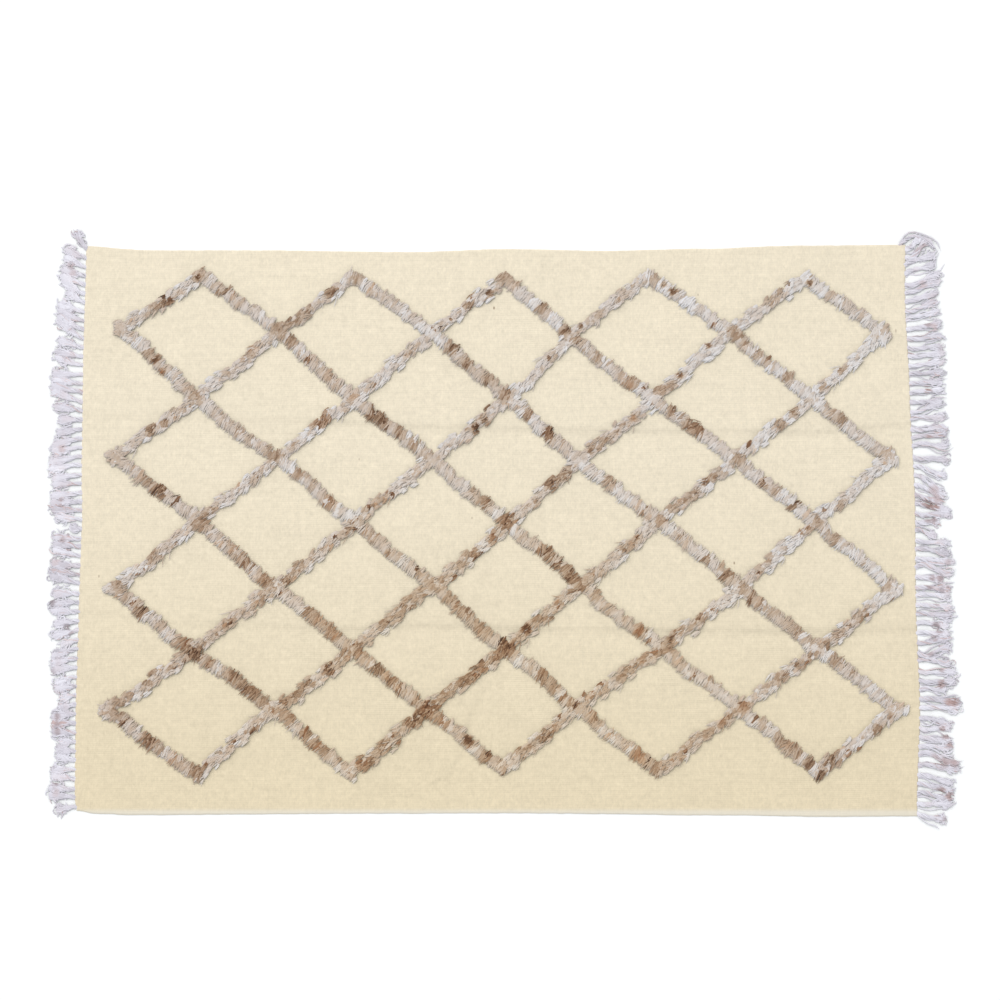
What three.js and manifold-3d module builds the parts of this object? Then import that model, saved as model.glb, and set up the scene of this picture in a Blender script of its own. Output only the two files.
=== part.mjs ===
import * as THREE from "three";
import Module from "manifold-3d";
import { mergeVertices } from "three/addons/utils/BufferGeometryUtils.js";

// A flat-woven wool rug lying flat on the floor, in millimetres. X runs along its length, Y across
// it and Z up. The origin is the middle of the cloth's underside. Four pieces: the woven ground, a
// trellis of knotted pile on it, and a fringe of twisted warp ends at each short end.

// Driving dimensions
const CLOTH_LENGTH = 1900;
const CLOTH_WIDTH = 1300;
const CLOTH_THICKNESS = 4;
const CLOTH_RIM_DROP = 0.9;
const CLOTH_RIM_WIDTH = 7;
const PIECE_GAP = 0.3;

const PILE_WIDTH = 34;
const PILE_HEIGHT = 9;
const PILE_STEP = 28;
const LOCK_REACH = 9;
const RUN_OVERSHOOT = 12;
const RUN_END_TAPER = 0.72;
const COMBED_SHARE = { least: 0.42, spread: 0.1 };
const ROOTED_SHARE = { least: 0.4, spread: 0.14 };
const COMBED_RISE = { least: 0.55, spread: 0.4 };
const ROOTED_RISE = { least: 0.65, spread: 0.35 };
const CREST_PLACE = { combed: 0.5, rooted: 0.6 };

const STRIP_WIDTH = 6;
const STRIP_CHAMFER = 1;
const STRIP_INNER_HEIGHT = 0.8 * CLOTH_THICKNESS;
const STRAND_WIDTH = 8;
const STRAND_HEIGHT = 7.5;
const TUFT_WIDTH = 12.5;

// The cloth's four edges, as the distance out from the nominal rectangle. The long edges are drawn in
// a little along the middle, the short edges are nearly straight, and one corner is rounded off.
const FAR_EDGE = [
  { along: -948, out: 1 }, { along: -800, out: -9 }, { along: -560, out: -9 }, { along: -200, out: -13 },
  { along: 40, out: -6 }, { along: 260, out: -10 }, { along: 500, out: -5 }, { along: 690, out: 2 },
  { along: 948, out: 4 },
];
const NEAR_EDGE = [
  { along: -940, out: -8 }, { along: -905, out: -2 }, { along: -820, out: 1 }, { along: -240, out: -2 },
  { along: 30, out: -3 }, { along: 530, out: 2 }, { along: 750, out: 5 }, { along: 948, out: 4 },
];
const LEFT_EDGE = [
  { along: -642, out: -10 }, { along: -610, out: -5 }, { along: -400, out: -3 }, { along: -100, out: -6 },
  { along: 20, out: -8 }, { along: 150, out: -4 }, { along: 400, out: -3 }, { along: 651, out: -5 },
];
const RIGHT_EDGE = [
  { along: -646, out: -2 }, { along: -400, out: 9 }, { along: -160, out: 5 }, { along: 60, out: 8 },
  { along: 300, out: 1 }, { along: 540, out: -5 }, { along: 654, out: -2 },
];

// The two long creases left by folding the rug in three, and how deep each one still shows
const FOLDS = [
  {
    depth: 1.4,
    line: [
      { x: -950, y: -195 }, { x: -715, y: -220 }, { x: -315, y: -236 }, { x: -150, y: -227 },
      { x: 125, y: -236 }, { x: 780, y: -240 }, { x: 950, y: -236 },
    ],
    strength: [{ x: -950, part: 0.35 }, { x: -500, part: 0.5 }, { x: -250, part: 1 }, { x: 950, part: 1 }],
  },
  {
    depth: 1.3,
    line: [
      { x: -950, y: 256 }, { x: -355, y: 238 }, { x: -125, y: 227 }, { x: 205, y: 219 },
      { x: 720, y: 216 }, { x: 950, y: 232 },
    ],
    strength: [{ x: -950, part: 0.3 }, { x: -450, part: 0.4 }, { x: -330, part: 1 }, { x: 950, part: 0.9 }],
  },
];
const FOLD_HALF_WIDTH = 13;
const FOLD_OFFSETS = [-1, -0.5, 0, 0.5, 1];
const FOLD_SHARPNESS = 4;

// The slight cockle of the cloth between the folds: its height and the lengths of its two waves
const COCKLE = 0.35;
const COCKLE_ALONG = { x: 95, y: 210 };
const COCKLE_ACROSS = { x: 330, y: 120 };

// The trellis: where the pile bands cross or turn, row by row from the far edge to the near edge. Each
// crossing sits a little off its row, by its lift towards the far edge.
const CROSSINGS = [
  { y: 575, x: [-683, -331, 19, 350, 715], lift: [5, 0, -5, 4, 3] },
  { y: 447, x: [-858, -495, -144, 176, 541, 888], lift: [4, 0, 0, -9, 0, 0] },
  { y: 290, x: [-684, -328, 29, 361, 723], lift: [2, 0, 0, 0, 2] },
  { y: 152, x: [-870, -498, -146, 188, 546, 901], lift: [7, 2, 0, -4, 0, 0] },
  { y: 9, x: [-677, -319, 27, 373, 727], lift: [0, 0, -2, 2, -3] },
  { y: -141, x: [-866, -501, -144, 194, 554, 902], lift: [-3, 0, 0, 2, 0, -2] },
  { y: -282, x: [-686, -321, 24, 373, 732], lift: [-3, 0, 0, 2, 0] },
  { y: -417, x: [-876, -497, -157, 183, 550, 904], lift: [-3, 0, 0, 3, 4, -3] },
  { y: -559, x: [-670, -325, 15, 367, 728], lift: [-6, -2, 10, 4, 0] },
];
const CROSSING_COLUMNS = 11;

// The fringes, tuft by tuft from the far end of each short edge: how many strands draw together, how
// far they reach past the cloth, and how far their ends lean towards the far edge
const LEFT_TUFTS = [
  { strands: 1, reach: 28, lean: 44 }, { strands: 2, reach: 54, lean: 24 },
  { strands: 2, reach: 62, lean: 20 }, { strands: 1, reach: 58, lean: 32 },
  { strands: 1, reach: 46, lean: 28 }, { strands: 4, reach: 66, lean: 30 },
  { strands: 1, reach: 62, lean: 20 }, { strands: 2, reach: 70, lean: 18 },
  { strands: 4, reach: 76, lean: 14 }, { strands: 1, reach: 70, lean: 12 },
  { strands: 1, reach: 57, lean: 2 }, { strands: 1, reach: 62, lean: -12 },
  { strands: 2, reach: 73, lean: -16 }, { strands: 2, reach: 80, lean: -12 },
  { strands: 2, reach: 72, lean: -8 }, { strands: 3, reach: 76, lean: -4 },
  { strands: 1, reach: 62, lean: 6 }, { strands: 1, reach: 28, lean: 2 },
  { strands: 3, reach: 68, lean: 10 }, { strands: 3, reach: 72, lean: 13 },
  { strands: 1, reach: 64, lean: -2 }, { strands: 2, reach: 69, lean: -2 },
  { strands: 1, reach: 60, lean: -8 }, { strands: 1, reach: 62, lean: -16 },
  { strands: 1, reach: 40, lean: -14 }, { strands: 3, reach: 62, lean: -14 },
  { strands: 2, reach: 52, lean: -12 }, { strands: 1, reach: 38, lean: -10 },
  { strands: 1, reach: 38, lean: -12 }, { strands: 2, reach: 58, lean: -3 },
  { strands: 1, reach: 57, lean: 0 }, { strands: 1, reach: 40, lean: 2 },
  { strands: 2, reach: 46, lean: 8 }, { strands: 2, reach: 58, lean: 4 },
  { strands: 2, reach: 63, lean: 5 }, { strands: 1, reach: 48, lean: -5 },
];
const RIGHT_TUFTS = [
  { strands: 1, reach: 42, lean: 32 }, { strands: 1, reach: 62, lean: 36 },
  { strands: 2, reach: 72, lean: 32 }, { strands: 2, reach: 86, lean: 20 },
  { strands: 1, reach: 80, lean: 26 }, { strands: 1, reach: 80, lean: 25 },
  { strands: 1, reach: 80, lean: 23 }, { strands: 1, reach: 86, lean: 8 },
  { strands: 1, reach: 86, lean: 6 }, { strands: 1, reach: 86, lean: 3 },
  { strands: 1, reach: 90, lean: 10 }, { strands: 1, reach: 86, lean: 4 },
  { strands: 1, reach: 84, lean: 4 }, { strands: 1, reach: 80, lean: 8 },
  { strands: 1, reach: 82, lean: 8 }, { strands: 1, reach: 78, lean: 4 },
  { strands: 1, reach: 78, lean: 8 }, { strands: 1, reach: 82, lean: 14 },
  { strands: 2, reach: 86, lean: 14 }, { strands: 1, reach: 84, lean: 14 },
  { strands: 1, reach: 86, lean: -8 }, { strands: 1, reach: 76, lean: -21 },
  { strands: 2, reach: 72, lean: -40 }, { strands: 1, reach: 66, lean: -22 },
  { strands: 2, reach: 84, lean: -13 }, { strands: 1, reach: 58, lean: -2 },
  { strands: 1, reach: 48, lean: -3 }, { strands: 2, reach: 80, lean: -9 },
  { strands: 2, reach: 90, lean: -8 }, { strands: 1, reach: 62, lean: -2 },
  { strands: 2, reach: 82, lean: 0 }, { strands: 2, reach: 88, lean: -6 },
  { strands: 3, reach: 79, lean: 4 }, { strands: 2, reach: 80, lean: 2 },
  { strands: 2, reach: 90, lean: -5 }, { strands: 1, reach: 64, lean: -2 },
  { strands: 2, reach: 96, lean: -3 }, { strands: 2, reach: 74, lean: -5 },
  { strands: 2, reach: 76, lean: -14 }, { strands: 2, reach: 97, lean: -4 },
  { strands: 1, reach: 84, lean: -16 }, { strands: 1, reach: 86, lean: -12 },
  { strands: 1, reach: 86, lean: -6 }, { strands: 1, reach: 84, lean: -5 },
  { strands: 1, reach: 64, lean: -24 },
];

// How a strand swells from its root to the tangled tuft at its end: the share of the way along it, and
// its width and height there as shares of the full size
const STRAND_STATIONS = [
  { along: 0, width: 0.9, height: 0.85 }, { along: 0.42, width: 0.85, height: 0.9 },
  { along: 0.8, width: 1, height: 1 }, { along: 1, width: 0.5, height: 0.55 },
];
const STRAND_BEND = [{ out: 0.35, aside: 0.15 }, { out: 0.7, aside: 0.8 }];
const TUFT_FROM = 0.6;
const TIP_PITCH = 15;

// The cloth's grid: how many rows lie between a fold and a long edge, and between the two folds, and
// how many columns lie between the short edges
const OUTER_ROWS = 7;
const MIDDLE_ROWS = 8;
const COLUMN_SPANS = 20;

// The colour of each wool and how rough it is
const GROUND_WOOL = { color: 0xeee1ca, roughness: 0.95 };
const PILE_WOOL = { color: 0xb3a79b, roughness: 0.9 };
const FRINGE_YARN = { color: 0xcfc9cc, roughness: 0.9 };

const wasm = await Module();
wasm.setup();
const { Manifold, Mesh: SolidMesh } = wasm;

// A repeatable number between 0 and 1 from two whole numbers
function chance(a, b) {
  const wave = Math.sin(a * 127.1 + b * 311.7) * 43758.5453;
  return wave - Math.floor(wave);
}

// The value of a table at a place, eased between its rows
function lookUp(table, from, to, place) {
  const last = table.length - 1;
  if (place <= table[0][from]) {
    return table[0][to];
  }
  for (let row = 1; row <= last; row += 1) {
    if (place <= table[row][from]) {
      const start = table[row - 1];
      const end = table[row];
      const part = (place - start[from]) / (end[from] - start[from]);
      const eased = part * part * (3 - 2 * part);
      return start[to] + (end[to] - start[to]) * eased;
    }
  }
  return table[last][to];
}

function nearY(x) {
  return -CLOTH_WIDTH / 2 - lookUp(NEAR_EDGE, "along", "out", x);
}

function farY(x) {
  return CLOTH_WIDTH / 2 + lookUp(FAR_EDGE, "along", "out", x);
}

function leftX(y) {
  return -CLOTH_LENGTH / 2 - lookUp(LEFT_EDGE, "along", "out", y);
}

function rightX(y) {
  return CLOTH_LENGTH / 2 + lookUp(RIGHT_EDGE, "along", "out", y);
}

// Closed mesh from points and triangles, with every face turned outwards
function closedGeometry(points, triangles) {
  let volume = 0;
  const [a, b, c] = [new THREE.Vector3(), new THREE.Vector3(), new THREE.Vector3()];
  for (const [i, j, k] of triangles) {
    a.fromArray(points[i]);
    b.fromArray(points[j]);
    c.fromArray(points[k]);
    volume += a.dot(b.cross(c));
  }
  const turned = volume < 0 ? triangles.map(([i, j, k]) => [i, k, j]) : triangles;
  const geometry = new THREE.BufferGeometry();
  geometry.setAttribute("position", new THREE.Float32BufferAttribute(points.flat(), 3));
  geometry.setIndex(turned.flat());
  return geometry;
}

// A bar whose sections are rings with the same number of points, capped at both ends
function ringBar(rings) {
  const sides = rings[0].length;
  const triangles = [];
  for (let ring = 0; ring < rings.length - 1; ring += 1) {
    for (let side = 0; side < sides; side += 1) {
      const here = ring * sides + side;
      const beside = ring * sides + ((side + 1) % sides);
      triangles.push([here, beside, beside + sides], [here, beside + sides, here + sides]);
    }
  }
  const end = (rings.length - 1) * sides;
  for (let side = 1; side < sides - 1; side += 1) {
    triangles.push([0, side + 1, side], [end, end + side, end + side + 1]);
  }
  return closedGeometry(rings.flat(), triangles);
}

function toSolid(geometry) {
  const merged = mergeVertices(geometry);
  return new Manifold(new SolidMesh({
    numProp: 3,
    vertProperties: new Float32Array(merged.attributes.position.array),
    triVerts: new Uint32Array(merged.index.array),
  }));
}

// Several overlapping closed meshes joined into one
function joined(geometries) {
  const mesh = Manifold.union(geometries.map(toSolid)).getMesh();
  const geometry = new THREE.BufferGeometry();
  geometry.setAttribute("position", new THREE.BufferAttribute(mesh.vertProperties, 3));
  geometry.setIndex(new THREE.BufferAttribute(mesh.triVerts, 1));
  return geometry;
}

function foldY(fold, x) {
  return lookUp(fold.line, "x", "y", x);
}

// How far the cloth's top lies below its full thickness: the creases and a slight cockle
function sink(x, y) {
  const wave = Math.sin(x / COCKLE_ALONG.x + y / COCKLE_ALONG.y);
  const cross = Math.cos(y / COCKLE_ACROSS.y - x / COCKLE_ACROSS.x);
  let depth = COCKLE * (1 + wave * cross);
  for (const fold of FOLDS) {
    const away = (y - foldY(fold, x)) / FOLD_HALF_WIDTH;
    const strength = lookUp(fold.strength, "x", "part", x);
    depth += fold.depth * strength * Math.exp(-FOLD_SHARPNESS * away * away);
  }
  return depth;
}

// Rows of the cloth's grid: what each is measured from, so that rows run along the folds
function rowPlaces() {
  const places = [];
  const addSpan = (low, high, count) => {
    for (let step = 1; step < count; step += 1) {
      places.push({ low, high, part: step / count });
    }
  };
  const addFold = (fold) => {
    for (const offset of FOLD_OFFSETS) {
      places.push({ low: fold, high: fold, part: 0, offset: offset * FOLD_HALF_WIDTH });
    }
  };
  const near = (x) => nearY(x) + CLOTH_RIM_WIDTH;
  const far = (x) => farY(x) - CLOTH_RIM_WIDTH;
  const [lowFold, highFold] = FOLDS.map((fold) => (x) => foldY(fold, x));
  places.push({ low: nearY, high: nearY, part: 0 }, { low: near, high: near, part: 0 });
  addSpan(near, (x) => lowFold(x) - FOLD_HALF_WIDTH, OUTER_ROWS);
  addFold(lowFold);
  addSpan((x) => lowFold(x) + FOLD_HALF_WIDTH, (x) => highFold(x) - FOLD_HALF_WIDTH, MIDDLE_ROWS);
  addFold(highFold);
  addSpan((x) => highFold(x) + FOLD_HALF_WIDTH, far, OUTER_ROWS);
  places.push({ low: far, high: far, part: 0 }, { low: farY, high: farY, part: 0 });
  return places;
}

const ROWS = rowPlaces();

function rowY(row, x) {
  const { low, high, part, offset = 0 } = ROWS[row];
  return low(x) + (high(x) - low(x)) * part + offset;
}

function columnShares() {
  const rim = CLOTH_RIM_WIDTH / CLOTH_LENGTH;
  const shares = [0, rim];
  for (let column = 1; column < COLUMN_SPANS; column += 1) {
    shares.push(column / COLUMN_SPANS);
  }
  shares.push(1 - rim, 1);
  return shares;
}

const COLUMNS = columnShares();

// The place of one grid point, on the cloth's outline at the grid's edges
function gridPlace(column, row) {
  const share = COLUMNS[column];
  const roughX = (share - 0.5) * CLOTH_LENGTH;
  const roughY = rowY(row, roughX);
  const x = leftX(roughY) + (rightX(roughY) - leftX(roughY)) * share;
  return [x, rowY(row, x)];
}

// The woven ground: its top follows the creases, and its underside is flat on the floor
function groundGeometry() {
  const across = COLUMNS.length;
  const up = ROWS.length;
  const points = [];
  const triangles = [];
  const at = (column, row) => row * across + column;
  for (let row = 0; row < up; row += 1) {
    for (let column = 0; column < across; column += 1) {
      const [x, y] = gridPlace(column, row);
      const onRim = row === 0 || row === up - 1 || column === 0 || column === across - 1;
      const top = CLOTH_THICKNESS - sink(x, y) - (onRim ? CLOTH_RIM_DROP : 0);
      points.push([x, y, top]);
    }
  }
  const under = new Map();
  const below = (column, row) => {
    const top = at(column, row);
    if (!under.has(top)) {
      under.set(top, points.length);
      points.push([points[top][0], points[top][1], 0]);
    }
    return under.get(top);
  };
  for (let row = 0; row < up - 1; row += 1) {
    for (let column = 0; column < across - 1; column += 1) {
      const [a, b] = [at(column, row), at(column + 1, row)];
      const [c, d] = [at(column + 1, row + 1), at(column, row + 1)];
      triangles.push([a, b, c], [a, c, d]);
      const [e, f] = [below(column, row), below(column + 1, row)];
      const [g, h] = [below(column + 1, row + 1), below(column, row + 1)];
      triangles.push([e, g, f], [e, h, g]);
    }
  }
  const wall = (one, two) => {
    const [topOne, topTwo] = [at(...one), at(...two)];
    triangles.push([topOne, below(...one), below(...two)], [topOne, below(...two), topTwo]);
  };
  for (let column = 0; column < across - 1; column += 1) {
    wall([column, 0], [column + 1, 0]);
    wall([column + 1, up - 1], [column, up - 1]);
  }
  for (let row = 0; row < up - 1; row += 1) {
    wall([across - 1, row], [across - 1, row + 1]);
    wall([0, row + 1], [0, row]);
  }
  return closedGeometry(points, triangles);
}

// Where two bands of the trellis cross, from the crossing's column and row
function crossing(column, row) {
  const { x, y, lift } = CROSSINGS[row];
  const place = row % 2 === 0 ? (column - 1) / 2 : column / 2;
  return [x[place], y + lift[place]];
}

function inTrellis(column, row) {
  return column >= 0 && column < CROSSING_COLUMNS && row < CROSSINGS.length;
}

// Every straight run of the trellis, as the crossings that it passes through
function trellisRuns() {
  const runs = [];
  for (const way of [1, -1]) {
    const side = way === 1 ? 0 : CROSSING_COLUMNS - 1;
    const starts = [];
    for (let column = 1; column < CROSSING_COLUMNS; column += 2) {
      starts.push([column, 0]);
    }
    for (let row = 1; row < CROSSINGS.length; row += 2) {
      starts.push([side, row]);
    }
    for (const [column, row] of starts) {
      const places = [];
      for (let step = 0; inTrellis(column + way * step, row + step); step += 1) {
        places.push(crossing(column + way * step, row + step));
      }
      runs.push({ way, places });
    }
  }
  return runs;
}

// One run of pile: a lumpy bar whose combed side has the ends of locks standing out along its rim
function pileRun({ way, places }, number) {
  const base = CLOTH_THICKNESS + PIECE_GAP;
  const path = new THREE.CurvePath();
  const corners = places.map(([x, y]) => new THREE.Vector2(x, y));
  const first = corners[1].clone().sub(corners[0]).setLength(RUN_OVERSHOOT);
  const last = corners.at(-1).clone().sub(corners.at(-2)).setLength(RUN_OVERSHOOT);
  corners[0].sub(first);
  corners.at(-1).add(last);
  for (let corner = 0; corner < corners.length - 1; corner += 1) {
    path.add(new THREE.LineCurve(corners[corner], corners[corner + 1]));
  }
  const steps = Math.round(path.getLength() / PILE_STEP);
  const rings = [];
  for (let step = 0; step <= steps; step += 1) {
    const centre = path.getPointAt(step / steps);
    const along = path.getTangentAt(Math.min(Math.max(step, 0.5), steps - 0.5) / steps);
    const side = new THREE.Vector2(along.y, -along.x);
    const atEnd = step === 0 || step === steps;
    const lump = (index) => chance(number * 41 + step, index + way * 7);
    const varied = ({ least, spread }, index) => least + spread * lump(index);
    const slim = atEnd ? RUN_END_TAPER : 1;
    const lock = (step % 2) * LOCK_REACH * lump(2);
    const combed = PILE_WIDTH * varied(COMBED_SHARE, 1) * slim + lock;
    const rooted = PILE_WIDTH * varied(ROOTED_SHARE, 3) * slim;
    const low = PILE_HEIGHT * varied(COMBED_RISE, 4) * slim;
    const high = PILE_HEIGHT * varied(ROOTED_RISE, 5) * slim;
    const point = (out, up) => [centre.x + side.x * out, centre.y + side.y * out, base + up];
    rings.push([
      point(combed, 0),
      point(combed * CREST_PLACE.combed, low),
      point(-rooted * CREST_PLACE.rooted, high),
      point(-rooted, 0),
    ]);
  }
  return ringBar(rings);
}

function pileGeometry() {
  return joined(trellisRuns().map(pileRun));
}

// One fringe: the strip beside the cloth's edge, and strands that lie level on the floor. The way is
// -1 at the left end of the rug and 1 at the right end.
function fringeGeometry(tufts, way, edgeX) {
  const up = ROWS.length;
  const column = way < 0 ? 0 : COLUMNS.length - 1;
  const stripRings = [];
  for (let row = 0; row < up; row += 1) {
    const [x, y] = gridPlace(column, row);
    const inner = x + way * PIECE_GAP;
    const outer = inner + way * STRIP_WIDTH;
    const shoulder = outer - way * STRIP_CHAMFER;
    stripRings.push([
      [inner, y, 0],
      [outer, y, 0],
      [shoulder, y, CLOTH_THICKNESS],
      [inner, y, STRIP_INNER_HEIGHT],
    ]);
  }
  const bars = [ringBar(stripRings)];
  const total = tufts.reduce((sum, tuft) => sum + tuft.strands, 0);
  const low = stripRings[0][0][1] + STRAND_WIDTH;
  const high = stripRings[up - 1][0][1] - STRAND_WIDTH;
  const pitch = (high - low) / (total - 1);
  let strand = 0;
  for (const tuft of tufts) {
    const middle = high - pitch * (strand + (tuft.strands - 1) / 2);
    for (let member = 0; member < tuft.strands; member += 1) {
      const rootY = high - pitch * strand;
      const spread = (tuft.strands - 1) / 2 - member;
      const tipY = middle + tuft.lean + spread * TIP_PITCH;
      const reach = tuft.reach * (0.92 + 0.08 * chance(strand, way));
      bars.push(strandBar(edgeX(rootY), rootY, tipY, reach, way));
      strand += 1;
    }
  }
  return joined(bars);
}

// One strand: three-sided, flat on the floor, swelling to its tuft and narrow at the tip
function strandBar(edge, rootY, tipY, reach, way) {
  const rootX = edge + way * (PIECE_GAP + STRIP_WIDTH / 2);
  const tipX = edge + way * reach;
  const root = new THREE.Vector2(rootX, rootY);
  const tip = new THREE.Vector2(tipX, tipY);
  const pulls = STRAND_BEND.map(({ out, aside }) => {
    return new THREE.Vector2(rootX + (tipX - rootX) * out, rootY + (tipY - rootY) * aside);
  });
  const bend = new THREE.CubicBezierCurve(root, ...pulls, tip);
  const rings = STRAND_STATIONS.map(({ along, width, height }) => {
    const centre = bend.getPoint(along);
    const heading = bend.getTangent(along);
    const full = along > TUFT_FROM ? TUFT_WIDTH : STRAND_WIDTH;
    const half = full * width / 2;
    const side = new THREE.Vector2(-heading.y, heading.x);
    const point = (out, level) => [centre.x + side.x * out, centre.y + side.y * out, level];
    return [point(half, 0), point(-half, 0), point(0, STRAND_HEIGHT * height)];
  });
  return ringBar(rings);
}

function piece(name, geometry, wool) {
  const material = new THREE.MeshStandardMaterial({ ...wool, metalness: 0 });
  material.name = name;
  const mesh = new THREE.Mesh(geometry, material);
  mesh.name = name;
  return mesh;
}

const rug = new THREE.Group();
rug.name = "kilim_rug";
rug.add(piece("ground", groundGeometry(), GROUND_WOOL));
rug.add(piece("pile", pileGeometry(), PILE_WOOL));
rug.add(piece("fringe_left", fringeGeometry(LEFT_TUFTS, -1, leftX), FRINGE_YARN));
rug.add(piece("fringe_right", fringeGeometry(RIGHT_TUFTS, 1, rightX), FRINGE_YARN));

export default rug;
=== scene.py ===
"""A flat-woven wool rug with a trellis of knotted pile and a twisted fringe at both ends."""
import math

import bpy
import numpy as np
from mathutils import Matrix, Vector
from mathutils.geometry import delaunay_2d_cdt


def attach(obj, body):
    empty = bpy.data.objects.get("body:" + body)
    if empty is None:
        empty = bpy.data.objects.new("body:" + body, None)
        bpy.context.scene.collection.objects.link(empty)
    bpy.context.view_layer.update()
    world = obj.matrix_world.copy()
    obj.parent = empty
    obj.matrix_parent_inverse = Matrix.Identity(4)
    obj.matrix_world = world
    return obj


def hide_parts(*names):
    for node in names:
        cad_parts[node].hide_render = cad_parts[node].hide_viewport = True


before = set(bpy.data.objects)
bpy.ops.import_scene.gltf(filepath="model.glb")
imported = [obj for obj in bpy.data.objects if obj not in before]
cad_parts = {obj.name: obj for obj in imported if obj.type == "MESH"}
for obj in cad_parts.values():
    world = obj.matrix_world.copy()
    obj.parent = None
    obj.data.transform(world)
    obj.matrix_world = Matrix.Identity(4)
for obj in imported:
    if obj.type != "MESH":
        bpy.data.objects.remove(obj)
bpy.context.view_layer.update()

bl_info = {
    "name": "Kilim rug with a pile trellis",
    "version": (1, 0, 0),
    "blender": (4, 5, 0),
    "location": "View3D > Sidebar > Rug",
    "description": "Builds a flat-woven rug with knotted pile bands and fringes",
    "category": "Add Mesh",
}

MM = 0.001
# A full turn in radians, near enough for random phases
TURN = 6.28

# The cloth's four edges in mm: the place along the edge, and how far out from the plain rectangle. They
# started from places that a separate script measured in the photo.
FAR_EDGE = [
    (-948, 1), (-800, -9), (-560, -9), (-200, -13), (40, -6), (260, -10), (500, -5), (690, 2), (948, 4),
]
NEAR_EDGE = [(-940, -8), (-905, -2), (-820, 1), (-240, -2), (30, -3), (530, 2), (750, 5), (948, 4)]
LEFT_EDGE = [
    (-642, -10), (-610, -5), (-400, -3), (-100, -6), (20, -8), (150, -4), (400, -3), (651, -5),
]
RIGHT_EDGE = [(-646, -2), (-400, 9), (-160, 5), (60, 8), (300, 1), (540, -5), (654, -2)]

# The two long creases in mm: where each runs, and how strongly it still shows along the cloth
NEAR_FOLD = {
    "line": [
        (-950, -195), (-715, -220), (-315, -236), (-150, -227), (125, -236), (780, -240), (950, -236),
    ],
    "strength": [(-950, 0.35), (-500, 0.5), (-250, 1), (950, 1)],
}
FAR_FOLD = {
    "line": [(-950, 256), (-355, 238), (-125, 227), (205, 219), (720, 216), (950, 232)],
    "strength": [(-950, 0.3), (-450, 0.4), (-330, 1), (950, 0.9)],
}
# Two short wrinkles that run across the cloth: x at each y, and their strength
LONG_WRINKLE = {
    "line": [(-589, -146), (-555, -101), (-517, -79), (-473, -65), (-428, -57), (-394, -39), (-349, -12)],
    "strength": [(-620, 0), (-570, 0.8), (-400, 0.8), (-335, 0)],
}
SHORT_WRINKLE = {
    "line": [(337, -122), (356, -113), (379, -104)],
    "strength": [(325, 0), (345, 0.7), (370, 0.7), (390, 0)],
}

# The trellis in mm: where the pile bands cross or turn, row by row from the far edge. Each row has its
# y, the x of its crossings, and how far each crossing sits off the row. A separate script measured these
# places in the photo.
CROSSINGS = [
    (575, [-683, -331, 19, 350, 715], [5, 0, -5, 4, 3]),
    (447, [-858, -495, -144, 176, 541, 888], [4, 0, 0, -9, 0, 0]),
    (290, [-684, -328, 29, 361, 723], [2, 0, 0, 0, 2]),
    (152, [-870, -498, -146, 188, 546, 901], [7, 2, 0, -4, 0, 0]),
    (9, [-677, -319, 27, 373, 727], [0, 0, -2, 2, -3]),
    (-141, [-866, -501, -144, 194, 554, 902], [-3, 0, 0, 2, 0, -2]),
    (-282, [-686, -321, 24, 373, 732], [-3, 0, 0, 2, 0]),
    (-417, [-876, -497, -157, 183, 550, 904], [-3, 0, 0, 3, 4, -3]),
    (-559, [-670, -325, 15, 367, 728], [-6, -2, 10, 4, 0]),
]
CROSSING_COLUMNS = 11
MIDDLE_ROW = 4

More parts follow.
